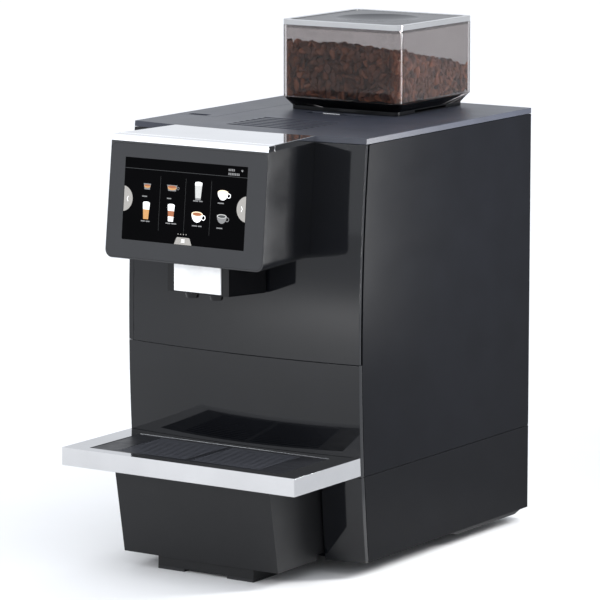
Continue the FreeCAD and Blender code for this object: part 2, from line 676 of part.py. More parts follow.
def drip_tub():
    """Drawer body: a basin in front under the grid and a long tray behind it."""
    z1 = FRAME_Z0
    back = FRONT_Y + DRAWER_IN
    profile = [(FRONT_Y - TUB_FOOT_OUT, TUB_FRONT_Z), (FRONT_Y - TUB_TOP_OUT, z1),
               (FRONT_Y - 24, z1), (FRONT_Y - 24, SEAM_Z - 3), (back, SEAM_Z - 3), (back, TUB_Z),
               (FRONT_Y - 12, TUB_Z), (FRONT_Y - 12, TUB_FRONT_Z)]
    outer = prism_x(profile, -DRAWER_HALF, DRAWER_HALF)
    lean = (TUB_TOP_OUT - TUB_FOOT_OUT) / (z1 - TUB_FRONT_Z)
    floor = TUB_Z + TUB_WALL
    front0 = FRONT_Y - TUB_FOOT_OUT - (floor - TUB_FRONT_Z) * lean + TUB_WALL
    front1 = FRONT_Y - TUB_TOP_OUT - lean + TUB_WALL
    basin = prism_x([(front0, floor), (front1, z1 + 1), (FRONT_Y - 24 - TUB_WALL, z1 + 1),
                     (FRONT_Y - 24 - TUB_WALL, floor)], -TUB_INNER, TUB_INNER)
    rear = box(-TUB_INNER, TUB_INNER, FRONT_Y - 24, back - TUB_WALL, floor, SEAM_Z + 1)
    return outer.cut(basin).cut(rear)


def grounds_bin():
    x = TUB_INNER - 3
    y0, y1 = BIN_FRONT, FRONT_Y + DRAWER_IN - TUB_WALL - 3
    z0, z1 = TUB_Z + TUB_WALL, SEAM_Z - 4
    shell = box(-x, x, y0, y1, z0, z1)
    return shell.cut(box(-x + 2, x - 2, y0 + 2, y1 - 2, z0 + 2, z1 + 1))


def drip_grid():
    """Ribbed plate with long slots along the machine's width, lying in the frame."""
    play = 0.6
    x = GRID_HALF - play
    y0, y1 = GRID_FRONT + play, GRID_BACK - play
    z1 = FRAME_TOP - 0.4
    plate = box(-x, x, y0, y1, z1 - GRID_T + 0.4, z1)
    slot_area = y1 - y0 - 12
    pitch = slot_area / GRID_SLOTS
    slots = []
    for row in range(GRID_SLOTS):
        y = y0 + 6 + (row + 0.5) * pitch
        for x0, x1 in ((-TUB_INNER + 6, -3), (3, TUB_INNER - 6)):
            slots.append(box(x0, x1, y - pitch * 0.27, y + pitch * 0.27, z1 - GRID_T - 1, z1 + 1))
    return plate.cut(group(slots))


def level_float():
    """Float that stands in the basin and rises under the grid when the basin is full."""
    low = TUB_Z + TUB_WALL + 0.5
    top = FRAME_TOP - GRID_T - 1.5 - FLOAT_TRAVEL
    drum = post(FLOAT_R + 6, FLOAT_X, FLOAT_Y, low, low + 18)
    stem = post(FLOAT_R - 3.5, FLOAT_X, FLOAT_Y, low, top)
    cap = post(FLOAT_R, FLOAT_X, FLOAT_Y, top - 3, top)
    return stem.multiFuse([cap, drum]).removeSplitter()


# =====================================================================================================
# bean hopper
# =====================================================================================================
HOPPER_Z = TOP_Z + 0.4
NECK_Z = HOPPER_Z + NECK_H
WALL_Z = NECK_Z + TAPER_H
LID_Z = TOP_Z + HOPPER_H - LID_H
SHUTTER_Z = HOPPER_Z + 0.2
SHUTTER_TRAVEL = 30.0


def hopper_neck():
    """Dark foot of the hopper with the throat that reaches into the grinder."""
    half = NECK_W / 2
    foot = rounded(-half, half, HOPPER_Y - half, HOPPER_Y + half, HOPPER_Z, NECK_Z, HOPPER_ROUND - 2)
    throat = post(THROAT_R + HOPPER_WALL, 0, HOPPER_Y, TOP_Z - 22, HOPPER_Z + 1)
    solid = foot.fuse(throat).removeSplitter()
    solid = solid.cut(post(THROAT_R, 0, HOPPER_Y, TOP_Z - 30, NECK_Z + 1))
    guide = box(-THROAT_R - 8 - SHUTTER_TRAVEL, half + 5, HOPPER_Y - THROAT_R - 6,
                HOPPER_Y + THROAT_R + 6, SHUTTER_Z + 0.4, SHUTTER_Z + 2.8)
    return solid.cut(guide)


def hopper_shutter():
    """Plate that closes the throat when it is pushed in."""
    z0 = SHUTTER_Z + 0.8
    z1 = SHUTTER_Z + 2.4
    x1 = NECK_W / 2 - SHUTTER_TRAVEL - 4
    plate = box(-THROAT_R - 4, x1, HOPPER_Y - THROAT_R - 5, HOPPER_Y + THROAT_R + 5, z0, z1)
    hole = post(THROAT_R - 1, 0, HOPPER_Y, z0 - 1, z1 + 1)
    return plate.cut(hole)


def hopper_body():
    """Smoked clear box with rounded corners, tapered at its foot."""
    half = HOPPER_W / 2
    outer = rounded(-half, half, HOPPER_Y - half, HOPPER_Y + half, WALL_Z, LID_Z, HOPPER_ROUND)
    taper = rounded_loft(NECK_W, HOPPER_W, HOPPER_Y, NECK_Z, WALL_Z, HOPPER_ROUND - 2, HOPPER_ROUND)
    shape = outer.fuse(taper).removeSplitter()
    i = half - HOPPER_WALL
    inner = rounded(-i, i, HOPPER_Y - i, HOPPER_Y + i, WALL_Z, LID_Z + 1, HOPPER_ROUND - HOPPER_WALL)
    funnel = rounded_loft(2 * THROAT_R, HOPPER_W - 2 * HOPPER_WALL, HOPPER_Y, NECK_Z + HOPPER_WALL,
                          WALL_Z + 0.01, THROAT_R - 1, HOPPER_ROUND - HOPPER_WALL)
    mouth = post(THROAT_R, 0, HOPPER_Y, NECK_Z - 1, NECK_Z + HOPPER_WALL + 1)
    return shape.cut(inner).cut(funnel).cut(mouth)


def coffee_beans():
    """The heap of beans as one solid."""
    gap = 0.5
    i = HOPPER_W / 2 - HOPPER_WALL - gap
    z_left, z_right = WALL_Z + 56, WALL_Z + 40
    y0, y1 = HOPPER_Y - i, HOPPER_Y + i
    block = rounded(-i, i, y0, y1, WALL_Z + gap, LID_Z - 4, HOPPER_ROUND - HOPPER_WALL - gap)
    over = prism_x([(y0 - 1, z_left), (y1 + 1, z_right), (y1 + 1, LID_Z + 9), (y0 - 1, LID_Z + 9)],
                   -i - 1, i + 1)
    return block.cut(over)


LID_LIP = 6.0


def lid_frame():
    half = HOPPER_W / 2
    ring = rounded(-half, half, HOPPER_Y - half, HOPPER_Y + half, LID_Z + 0.4, LID_Z + LID_H, HOPPER_ROUND)
    i = half - 7
    ring = ring.cut(rounded(-i, i, HOPPER_Y - i, HOPPER_Y + i, LID_Z - 1, LID_Z + LID_H + 1, 6))
    o = half - HOPPER_WALL - 0.6
    skirt = rounded(-o, o, HOPPER_Y - o, HOPPER_Y + o, LID_Z - LID_LIP + 3, LID_Z + 0.4,
                    HOPPER_ROUND - HOPPER_WALL - 0.6)
    n = o - 2
    skirt = skirt.cut(rounded(-n, n, HOPPER_Y - n, HOPPER_Y + n, LID_Z - LID_LIP - 1, LID_Z + 1, 4))
    shelf_out = rounded(-o, o, HOPPER_Y - o, HOPPER_Y + o, LID_Z + 0.4, LID_Z + 1.6,
                        HOPPER_ROUND - HOPPER_WALL - 0.6)
    shelf_in = i - 4
    ledge = shelf_out.cut(rounded(-shelf_in, shelf_in, HOPPER_Y - shelf_in, HOPPER_Y + shelf_in,
                                  LID_Z - 1, LID_Z + 3, 4))
    return ring.multiFuse([skirt, ledge]).removeSplitter()


SCOOP_DEEP = 3.0
SCOOP_RIM_R = 47.0
SCOOP_BALL = (SCOOP_RIM_R ** 2 + SCOOP_DEEP ** 2) / (2 * SCOOP_DEEP)


def lid_glass():
    """Dark plate in the lid, with a round finger hollow in its top."""
    i = HOPPER_W / 2 - 7.2
    plate = rounded(-i, i, HOPPER_Y - i, HOPPER_Y + i, LID_Z + 1.6, LID_Z + LID_H - 0.5, 5.8)
    ball = Part.makeSphere(SCOOP_BALL, V(0, HOPPER_Y, LID_Z + LID_H - 0.5 - SCOOP_DEEP + SCOOP_BALL))
    return plate.cut(ball)


# =====================================================================================================
# water tank
# =====================================================================================================
TANK_X0 = -HALF_W + SHEET + 2.5
TANK_X1 = LID_X - 2.5
TANK_Y0 = FRONT_Y + TANK_FRONT + 3
TANK_Y1 = BACK_Y - SHEET - 12
TANK_Z0 = SHELF_Z + SHEET + 16
TANK_Z1 = PANEL_TOP - 1.0
TANK_MID = (TANK_X0 + TANK_X1) / 2
TANK_VALVE_Y = TANK_Y1 - 40


def water_tank():
    shell = rounded(TANK_X0, TANK_X1, TANK_Y0, TANK_Y1, TANK_Z0, TANK_Z1, 6)
    inner = rounded(TANK_X0 + TANK_WALL, TANK_X1 - TANK_WALL, TANK_Y0 + TANK_WALL, TANK_Y1 - TANK_WALL,
                    TANK_Z0 + TANK_WALL, TANK_Z1 + 1, 4)
    valve = post(8, TANK_MID, TANK_VALVE_Y, TANK_Z0 - 8, TANK_Z0)
    valve = valve.cut(post(4, TANK_MID, TANK_VALVE_Y, TANK_Z0 - 9, TANK_Z0 - 3))
    return shell.cut(inner).fuse(valve).removeSplitter()


def tank_dock():
    """Seat on the shelf that the tank stands in."""
    seat = rounded(TANK_X0, TANK_X1, TANK_Y0 + 10, TANK_Y1, SHELF_Z + SHEET, TANK_Z0 - SLIDE, 4)
    return seat.cut(post(9, TANK_MID, TANK_VALVE_Y, TANK_Z0 - 10, TANK_Z0 + 1))


TANK_HINGE_Y = BACK_Y - 4.0
TANK_HINGE_Z = PANEL_TOP + SEAM + 2.7
TANK_HINGE_R = 1.5
TANK_HEEL_R = 3.0       # round heel of the lid behind its hinge
TANK_LIP_UP = 2.3       # the lip over the heel starts this far above the hinge
TANK_ARM_W = 6.0
TANK_ARM_X = (TANK_X0 + 6, TANK_X1 - 12)


def tank_lid():
    y0 = FRONT_Y + TANK_FRONT
    lid = box(-HALF_W, LID_X, y0, BACK_Y, PANEL_TOP + SEAM, TOP_Z)
    grip = box(-HALF_W + 14, LID_X - 14, y0 + 4, y0 + 14, TOP_Z - 2, TOP_Z + 1)
    bore = TANK_HINGE_R + PIN_FIT
    pin = rod_x(bore, TANK_X0 - 1, TANK_X1 + 1, TANK_HINGE_Y, TANK_HINGE_Z)
    slot = box(TANK_X0 - 1, TANK_X1 + 1, TANK_HINGE_Y - bore, TANK_HINGE_Y + bore, PANEL_TOP, TANK_HINGE_Z)
    lid = lid.cut(grip).cut(pin).cut(slot)
    heel = box(-HALF_W - 1, LID_X + 1, TANK_HINGE_Y, BACK_Y + 1, PANEL_TOP, TANK_HINGE_Z + TANK_LIP_UP)
    heel = heel.cut(rod_x(TANK_HEEL_R, -HALF_W - 1, LID_X + 1, TANK_HINGE_Y, TANK_HINGE_Z))
    lid = lid.cut(heel)
    for x in TANK_ARM_X:
        lid = lid.cut(box(x - SEAM, x + TANK_ARM_W + SEAM, TANK_HINGE_Y - bore - 0.3, BACK_Y + 1,
                          PANEL_TOP, TANK_HINGE_Z + bore + 0.3))
    return lid


def tank_hinge():
    """Pin of the tank's lid on its two arms from the tank's back wall."""
    pin = rod_x(TANK_HINGE_R, TANK_X0, TANK_X1, TANK_HINGE_Y, TANK_HINGE_Z)
    half = TANK_HINGE_R - 0.2
    outline = [(TANK_Y1, PANEL_TOP - 12), (TANK_Y1, PANEL_TOP - 2), (TANK_HINGE_Y - half, PANEL_TOP - 2),
               (TANK_HINGE_Y - half, TANK_HINGE_Z), (TANK_HINGE_Y + half, TANK_HINGE_Z),
               (TANK_HINGE_Y + half, PANEL_TOP - 12)]
    arms = [prism_x(outline, x, x + TANK_ARM_W) for x in TANK_ARM_X]
    return pin.multiFuse(arms).removeSplitter()


# =====================================================================================================
# grinder and brew group
# =====================================================================================================
GRIND_TOP = TOP_Z - TOP_T - 18.0
GRIND_H = 52.0
GRIND_R = 50.0
BURR_R = 32.0
GRIND_Z0 = GRIND_TOP - GRIND_H
MOTOR_H = 88.0
MOTOR_R = 40.0
SHAFT_R = 5.0
BREW_Y = FRONT_Y + 92.0
BREW_TOP = GRIND_Z0 - 34.0
BREW_Z0 = SHELF_Z + SHEET + 20.0
BREW_HALF = 56.0
CYL_R = 24.0
CYL_H = 52.0


def grinder_housing():
    drum = post(GRIND_R, 0, HOPPER_Y, GRIND_Z0, GRIND_TOP)
    drum = drum.cut(post(GRIND_R - 5, 0, HOPPER_Y, GRIND_Z0 + 6, GRIND_TOP + 1))
    drum = drum.cut(post(SHAFT_R + 1, 0, HOPPER_Y, GRIND_Z0 - 1, GRIND_Z0 + 7))
    exit_hole = box(-13, 13, HOPPER_Y - GRIND_R - 2, HOPPER_Y - GRIND_R + 12, GRIND_Z0 + 9, GRIND_Z0 + 27)
    return drum.cut(exit_hole)


def upper_burr():
    z0 = GRIND_Z0 + 28
    ring = post(GRIND_R - 5, 0, HOPPER_Y, z0 + 6, GRIND_TOP - 2)
    cutter = post(BURR_R, 0, HOPPER_Y, z0, z0 + 6)
    solid = ring.fuse(cutter).removeSplitter()
    solid = solid.cut(post(THROAT_R - 6, 0, HOPPER_Y, z0 - 1, GRIND_TOP + 1))
    return solid.cut(Part.makeCone(THROAT_R - 6, THROAT_R, 8, V(0, HOPPER_Y, GRIND_TOP - 10)))


def lower_burr():
    """Turning burr on its shaft, with radial teeth on the upper face."""
    z1 = GRIND_Z0 + 27.2
    disc = post(BURR_R, 0, HOPPER_Y, z1 - 8, z1)
    hub = post(11, 0, HOPPER_Y, z1 - 14, z1 - 6)
    shaft = post(SHAFT_R, 0, HOPPER_Y, GRIND_Z0 - 16, z1 - 2)
    solid = disc.multiFuse([hub, shaft]).removeSplitter()
    teeth = []
    for step in range(12):
        tooth = box(12, BURR_R + 1, -1.1, 1.1, z1 - 1.4, z1 + 1)
        tooth.rotate(V(0, 0, 0), V(0, 0, 1), step * 30)
        tooth.translate(V(0, HOPPER_Y, 0))
        teeth.append(tooth)
    return solid.cut(group(teeth))


def grinder_motor():
    z1 = GRIND_Z0 - 0.4
    can = post(MOTOR_R, 0, HOPPER_Y, z1 - MOTOR_H, z1)
    can = can.cut(post(SHAFT_R + 1, 0, HOPPER_Y, z1 - 18, z1 + 1))
    foot = box(-MOTOR_R - 8, MOTOR_R + 8, HOPPER_Y - 14, HOPPER_Y + 14, z1 - MOTOR_H - 4, z1 - MOTOR_H)
    return can.fuse(foot).removeSplitter()


def grinder_stand():
    """Bent bracket that carries the grinder from the back of the machine room."""
    z0 = SHELF_Z + SHEET
    z1 = GRIND_Z0 - 0.4 - MOTOR_H - 4
    y1 = HOPPER_Y + 22
    legs = [box(x, x + 3, HOPPER_Y - 14, y1, z0, z1) for x in (-MOTOR_R - 8, MOTOR_R + 5)]
    top = box(-MOTOR_R - 8, MOTOR_R + 8, HOPPER_Y - 14, y1, z1 - 3, z1)
    feet = [box(x, x + 14, HOPPER_Y - 14, y1, z0, z0 + 3) for x in (-MOTOR_R - 22, MOTOR_R + 8)]
    return top.multiFuse(legs + feet).removeSplitter()


def ground_chute():
    """Sloping channel that carries ground coffee from the grinder to the brew cylinder."""
    high = HOPPER_Y - GRIND_R + 0.2
    low = BREW_Y + CYL_R - 4
    z1, z0 = GRIND_Z0 + 26, BREW_TOP + 3
    outline = [(high, z1), (high, z1 - 16), (low + 8, z0), (low - 12, z0), (low - 12, z0 + 12)]
    outer = prism_x(outline, -12, 12)
    inner = [(high + 1, z1 - 2), (high + 1, z1 - 14), (low + 6, z0 - 1), (low - 10, z0 - 1),
             (low - 10, z0 + 11)]
    return outer.cut(prism_x(inner, -10, 10))


PISTON_ROD_R = 6.0
PISTON_TRAVEL = 22.0
CYL_Z0 = BREW_Z0 + 8


def brew_frame():
    """Two side cheeks with a bridge above and below the brew cylinder."""
    y0, y1 = BREW_Y - 42, BREW_Y + 42
    z0, z1 = SHELF_Z + SHEET, BREW_TOP
    cheeks = [box(x, x + 5, y0, y1, z0, z1) for x in (-BREW_HALF, BREW_HALF - 5)]
    bridge = box(-BREW_HALF, BREW_HALF, y0 + 10, y1 - 10, z1 - 8, z1)
    bridge = bridge.cut(post(PISTON_ROD_R + PIN_FIT, 0, BREW_Y, z1 - 9, z1 + 1))
    bridge = bridge.cut(box(-14, 14, BREW_Y + CYL_R - 20, y1 - 9, z1 - 9, z1 + 1))
    low = [box(-BREW_HALF, -CYL_R - 8, y0, y1, BREW_Z0, BREW_Z0 + 8),
           box(CYL_R + 8, BREW_HALF, y0, y1, BREW_Z0, BREW_Z0 + 8)]
    return bridge.multiFuse(cheeks + low).removeSplitter()


def brew_cylinder():
    outer = post(CYL_R + 5, 0, BREW_Y, CYL_Z0, CYL_Z0 + CYL_H)
    lugs = box(-BREW_HALF + 6, BREW_HALF - 6, BREW_Y - 10, BREW_Y + 10, CYL_Z0, CYL_Z0 + 10)
    solid = outer.fuse(lugs).removeSplitter()
    return solid.cut(post(CYL_R, 0, BREW_Y, CYL_Z0 + 5, CYL_Z0 + CYL_H + 1))


def brew_piston():
    z0 = CYL_Z0 + CYL_H + 4
    disc = post(CYL_R - 0.5, 0, BREW_Y, z0, z0 + 12)
    rod = post(PISTON_ROD_R, 0, BREW_Y, z0 + 10, BREW_TOP + PISTON_TRAVEL + 4)
    return disc.fuse(rod).removeSplitter()


# =====================================================================================================
# boiler, pump, electrics
# =====================================================================================================
BOILER_X = HALF_W - SHEET - 36.0
BOILER_Y = FRONT_Y + 96.0
BOILER_R = 24.0
BOILER_Z0 = SHELF_Z + SHEET
BOILER_H = 150.0
PUMP_Y = FRONT_Y + 180.0
INLET_X = 86.0
INLET_Z = SEAM_Z + 40.0
INLET_R = 17.0
SWITCH_X = 40.0
SWITCH_W = 22.0
SWITCH_H = 30.0
FAN_X = -52.0
FAN_Z = SEAM_Z + 76.0
FAN_HALF = 40.0
FAN_T = 25.0
FAN_Y1 = BACK_Y - SHEET


def boiler():
    z1 = BOILER_Z0 + BOILER_H
    body = post(BOILER_R, BOILER_X, BOILER_Y, BOILER_Z0 + 6, z1)
    flange = post(BOILER_R + 5, BOILER_X, BOILER_Y, z1 - 8, z1 - 3)
    foot = post(BOILER_R - 6, BOILER_X, BOILER_Y, BOILER_Z0, BOILER_Z0 + 6)
    spigots = [post(4, BOILER_X + dx, BOILER_Y, z1, z1 + 12) for dx in (-11, 11)]
    return body.multiFuse([flange, foot] + spigots).removeSplitter()


def pump():
    """Vibration pump on two feet, with its outlet towards the boiler."""
    z = SHELF_Z + SHEET + 30
    coil = box(BOILER_X - 20, BOILER_X + 20, PUMP_Y + 14, PUMP_Y + 62, z - 20, z + 20)
    nose = rod_y(11, BOILER_X, PUMP_Y - 8, PUMP_Y + 14, z)
    outlet = rod_y(4, BOILER_X, PUMP_Y - 24, PUMP_Y - 8, z)
    tail = rod_y(11, BOILER_X, PUMP_Y + 62, PUMP_Y + 78, z)
    z0 = SHELF_Z + SHEET
    feet = [box(BOILER_X - 16, BOILER_X + 16, y, y + 12, z0, z - 20) for y in (PUMP_Y + 16, PUMP_Y + 48)]
    return coil.multiFuse([nose, outlet, tail] + feet).removeSplitter()


def pressure_hose():
    """Hose from the pump up to the boiler's first spigot."""
    z = SHELF_Z + SHEET + 30
    z1 = BOILER_Z0 + BOILER_H + 12
    y_out = PUMP_Y - 24
    high = z1 + 26
    x = BOILER_X
    points = [V(x, y_out, z), V(x, y_out - 16, z), V(x, y_out - 16, high), V(x - 11, BOILER_Y, high),
              V(x - 11, BOILER_Y, z1)]
    return tube_path(points, 3.0, 7.5)


def control_board():
    """Main circuit board upright beside the grinder, with its larger parts."""
    x1 = HALF_W - SHEET - 5
    y0, y1 = HOPPER_Y - 66, HOPPER_Y + 56
    z0, z1 = BOILER_Z0 + 130, PANEL_TOP - 14
    board = box(x1 - 1.6, x1, y0, y1, z0, z1)
    parts = [box(x1 - 18, x1 - 1.6, y0 + 10, y0 + 38, z0 + 12, z0 + 46),
             box(x1 - 12, x1 - 1.6, y0 + 54, y0 + 84, z0 + 20, z0 + 34),
             post(7, x1 - 8.4, y0 + 102, z0 + 14, z0 + 40),
             box(x1 - 9, x1 - 1.6, y0 + 14, y1 - 14, z1 - 22, z1 - 10)]
    posts = [rod_x(3, x1, HALF_W - SHEET, y, z) for y in (y0 + 6, y1 - 6) for z in (z0 + 6, z1 - 6)]
    return group([board.multiFuse(parts).removeSplitter()] + posts)


def power_inlet():
    """Mains socket in the back, for a loose cord."""
    y0 = BACK_Y - SHEET - 24
    body = rod_y(INLET_R, INLET_X, y0, BACK_Y, INLET_Z)
    rim = rod_y(INLET_R + 3, INLET_X, BACK_Y, BACK_Y + REAR_OUT, INLET_Z)
    solid = body.fuse(rim).removeSplitter()
    solid = solid.cut(box(INLET_X - 12, INLET_X + 12, BACK_Y - 16, BACK_Y + 5, INLET_Z - 8, INLET_Z + 8))
    blades = [box(INLET_X + dx - 1, INLET_X + dx + 1, BACK_Y - 17, BACK_Y - 4, INLET_Z + dz - 2,
                  INLET_Z + dz + 2) for dx, dz in ((-7, -2), (0, 2), (7, -2))]
    return solid.multiFuse(blades).removeSplitter()


ROCKER_ANGLE = 10.0
ROCKER_PIN_R = 1.5
ROCKER_Y = BACK_Y - 4.0


def switch_bezel():
    w, h = SWITCH_W / 2, SWITCH_H / 2
    y0 = BACK_Y - SHEET - 14
    case = box(SWITCH_X - w, SWITCH_X + w, y0, BACK_Y + 2, INLET_Z - h, INLET_Z + h)
    flange = box(SWITCH_X - w - 2, SWITCH_X + w + 2, BACK_Y, BACK_Y + 2, INLET_Z - h - 2, INLET_Z + h + 2)
    solid = case.fuse(flange).removeSplitter()
    solid = solid.cut(box(SWITCH_X - w + 2, SWITCH_X + w - 2, BACK_Y - 10, BACK_Y + 3,
                          INLET_Z - h + 2, INLET_Z + h - 2))
    return solid.cut(rod_x(ROCKER_PIN_R + PIN_FIT, SWITCH_X - w + 0.5, SWITCH_X + w - 0.5,
                           ROCKER_Y, INLET_Z))


def rocker_switch():
    """Rocker on a pivot across the switch, shown with its upper half pressed."""
    w = SWITCH_W / 2 - 2.6
    h = SWITCH_H / 2 - 4.0
    y = ROCKER_Y
    face = [(y - 3, -h + 2), (y + 4.6, -h), (y + 3.4, 0), (y + 4.6, h), (y - 3, h - 2)]
    key = prism_x([(a, INLET_Z + b) for a, b in face], SWITCH_X - w, SWITCH_X + w)
    key.rotate(V(SWITCH_X, y, INLET_Z), V(1, 0, 0), ROCKER_ANGLE)
    pin = rod_x(ROCKER_PIN_R, SWITCH_X - w - 1.8, SWITCH_X + w + 1.8, y, INLET_Z)
    return key.fuse(pin).removeSplitter()


def fan_housing():
    y0 = FAN_Y1 - FAN_T
    frame = box(FAN_X - FAN_HALF, FAN_X + FAN_HALF, y0, FAN_Y1 - 0.3, FAN_Z - FAN_HALF, FAN_Z + FAN_HALF)
    frame = frame.cut(rod_y(FAN_HALF - 2.5, FAN_X, y0 + 3, FAN_Y1 + 1, FAN_Z))
    ring = rod_y(FAN_HALF - 2.5, FAN_X, y0 - 1, y0 + 4, FAN_Z).cut(rod_y(15, FAN_X, y0 - 2, y0 + 5, FAN_Z))
    spokes = [box(FAN_X - 2, FAN_X + 2, y0 - 2, y0 + 5, FAN_Z - FAN_HALF, FAN_Z + FAN_HALF),
              box(FAN_X - FAN_HALF, FAN_X + FAN_HALF, y0 - 2, y0 + 5, FAN_Z - 2, FAN_Z + 2)]
    return frame.cut(ring.cut(group(spokes)))


def fan_rotor():
    y0 = FAN_Y1 - FAN_T + 3.6
    y1 = FAN_Y1 - 3.5
    hub = rod_y(13, FAN_X, y0, y1, FAN_Z)
    blades = []
    for step in range(7):
        blade = box(11, FAN_HALF - 4, -0.9, 0.9, -7, 7)
        blade.rotate(V(0, 0, 0), V(1, 0, 0), 48)
        blade.rotate(V(0, 0, 0), V(0, 1, 0), step * 360.0 / 7)
        blade.translate(V(FAN_X, (y0 + y1) / 2, FAN_Z))
        blades.append(blade)
    return hub.multiFuse(blades).removeSplitter()


# =====================================================================================================
# writing the pieces
# =====================================================================================================
NODES = {
    "base_pan": base_pan,
    "base_front_panel": base_front_panel,
    "foot_blocks": foot_blocks,
    "rubber_feet": rubber_feet,
    "side_panel_left": lambda: side_panel(-1),
    "side_panel_right": lambda: side_panel(1),
    "lower_front_panel": lower_front_panel,
    "back_panel": back_panel,
    "back_screws": back_screws,
    "top_panel": top_panel,
    "hopper_lock": hopper_lock,
    "inner_frame": inner_frame,
    "frame_fittings": frame_fittings,
    "hinge_pins": hinge_pins,
    "drawer_rails": drawer_rails,
    "door_leaf": door_leaf,
    "hinge_trim": hinge_trim,
    "door_inner": door_inner,
    "door_fittings": door_fittings,
    "head_housing": head_housing,
    "head_top_plate": head_top_plate,
    "head_trim": head_trim,
    "display_glass": display_glass,
    "display_screen": display_screen,
    "spout_block": spout_block,
    "nozzles": nozzles,
    "badge_plate": badge_plate,
    "tray_frame": tray_frame,
    "drip_tub": drip_tub,
    "grounds_bin": grounds_bin,
    "drip_grid": drip_grid,
    "level_float": level_float,
    "hopper_neck": hopper_neck,
    "hopper_shutter": hopper_shutter,
    "hopper_body": hopper_body,
    "coffee_beans": coffee_beans,
    "lid_frame": lid_frame,
    "lid_glass": lid_glass,
    "water_tank": water_tank,
    "tank_dock": tank_dock,
    "tank_lid": tank_lid,
    "tank_hinge": tank_hinge,
    "grinder_housing": grinder_housing,
    "upper_burr": upper_burr,
    "lower_burr": lower_burr,
    "grinder_motor": grinder_motor,
    "grinder_stand": grinder_stand,
    "ground_chute": ground_chute,
    "brew_frame": brew_frame,
    "brew_cylinder": brew_cylinder,
    "brew_piston": brew_piston,
    "boiler": boiler,
    "pump": pump,
    "pressure_hose": pressure_hose,
    "control_board": control_board,
    "power_inlet": power_inlet,
    "switch_bezel": switch_bezel,
    "rocker_switch": rocker_switch,
    "fan_housing": fan_housing,
    "fan_rotor": fan_rotor,
}


def main():
    os.makedirs("parts", exist_ok=True)
    for name, make in NODES.items():
        make().exportStep("parts/" + name + ".step")


if __name__ == "__main__":
    main()
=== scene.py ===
"""Finishes, screen picture, beans and studio for the countertop coffee machine, built round its frame."""
import math
import random

import bmesh
import bpy
from bpy.props import FloatProperty, FloatVectorProperty, IntProperty, PointerProperty
from bpy.types import Operator, Panel, PropertyGroup
from mathutils import Euler, Matrix, Vector


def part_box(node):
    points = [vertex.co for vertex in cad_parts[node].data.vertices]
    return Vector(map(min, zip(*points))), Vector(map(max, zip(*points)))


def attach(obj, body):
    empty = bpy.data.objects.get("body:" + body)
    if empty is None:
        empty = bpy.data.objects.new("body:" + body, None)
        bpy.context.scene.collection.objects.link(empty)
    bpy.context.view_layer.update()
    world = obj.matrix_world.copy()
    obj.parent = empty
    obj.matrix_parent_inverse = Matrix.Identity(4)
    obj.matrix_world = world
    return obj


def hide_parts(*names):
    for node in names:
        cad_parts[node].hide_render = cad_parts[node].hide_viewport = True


bl_info = {
    "name": "Coffee Machine Finisher",
    "version": (1, 0, 0),
    "blender": (4, 5, 0),
    "location": "3D View > Sidebar > Coffee Machine",
    "description": "Finishes, screen picture, coffee beans and studio for a countertop coffee machine",
    "category": "Object",
}

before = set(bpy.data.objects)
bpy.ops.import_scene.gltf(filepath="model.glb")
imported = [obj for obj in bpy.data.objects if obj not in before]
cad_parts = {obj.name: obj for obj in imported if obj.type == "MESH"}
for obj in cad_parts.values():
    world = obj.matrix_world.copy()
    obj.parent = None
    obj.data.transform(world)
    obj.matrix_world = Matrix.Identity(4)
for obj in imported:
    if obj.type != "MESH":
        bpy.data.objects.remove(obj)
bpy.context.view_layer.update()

HEAD_TILT = math.radians(5.8)       # the screen leans back by this much
SCREEN_SLAB = 0.002                 # thickness of the screen behind its face

# Heights of the picture's layers above the screen's face, in metres.
FLAT, RAISED, RIM, FILL, MARK = 0.00004, 0.00005, 0.00006, 0.00007, 0.00008

# Mirror directions and strengths of the surround: aim, sharpness, strength.
SURROUND_LIGHTS = (((0.0, 0.0, 1.0), 2.0, 1.2), ((-0.42, -0.90, 0.10), 6.0, 1.2),
                   ((0.36, -0.92, 0.10), 14.0, 1.6), ((-0.545, 0.822, 0.163), 4.0, 0.35))
SURROUND_TINT = (0.92, 0.95, 1.0)
WHITE_SEEN = (1.0, 1.0, 1.0)

# Softboxes: place, aim, width and height in metres.
SIDE_BOX = ((0.46, 0.19, 0.43), (0.15, -0.09, 0.44), 0.10, 0.42)
FLOOR_BOX = ((-0.40, -2.20, 1.00), (-0.42, -2.22, 0.0), 0.60, 0.60)
FLOOR_HALF = 14.0
FLOOR_GREYS = (0.88, 0.91)

CAMERA_TARGET = (-0.00039, -0.00355, 0.2739)
SENSOR_WIDTH = 36.0
CAMERA_REACH = 50.0

WALL_GAP = 0.0002                   # between the beans and the hopper's wall
WALL_CORNER = 0.0065                # inner corner radius that the beans keep to


# ---- sizes and colours a user may change ---------------------------------------------------------
def colour_prop(name, description, rgb):
    return FloatVectorProperty(name=name, description=description, size=3, subtype="COLOR",
                               min=0.0, max=1.0, default=rgb)


class FinishColours(PropertyGroup):
    door_gloss: colour_prop("Door gloss", "Glossy black of the door and fronts", (0.0036, 0.0040, 0.0054))
    side_paint: colour_prop("Side paint", "Satin paint of the sides and the top", (0.0036, 0.0040, 0.0056))
    moulding: colour_prop("Moulding", "Black moulded plastic", (0.0070, 0.0073, 0.0085))
    smoked: colour_prop("Smoked plastic", "Tint of the hopper's clear walls", (0.50, 0.47, 0.465))
    silver: colour_prop("Silver", "Polished plating", (0.90, 0.90, 0.91))
    roast: colour_prop("Roast", "Coffee beans", (0.240, 0.080, 0.034))


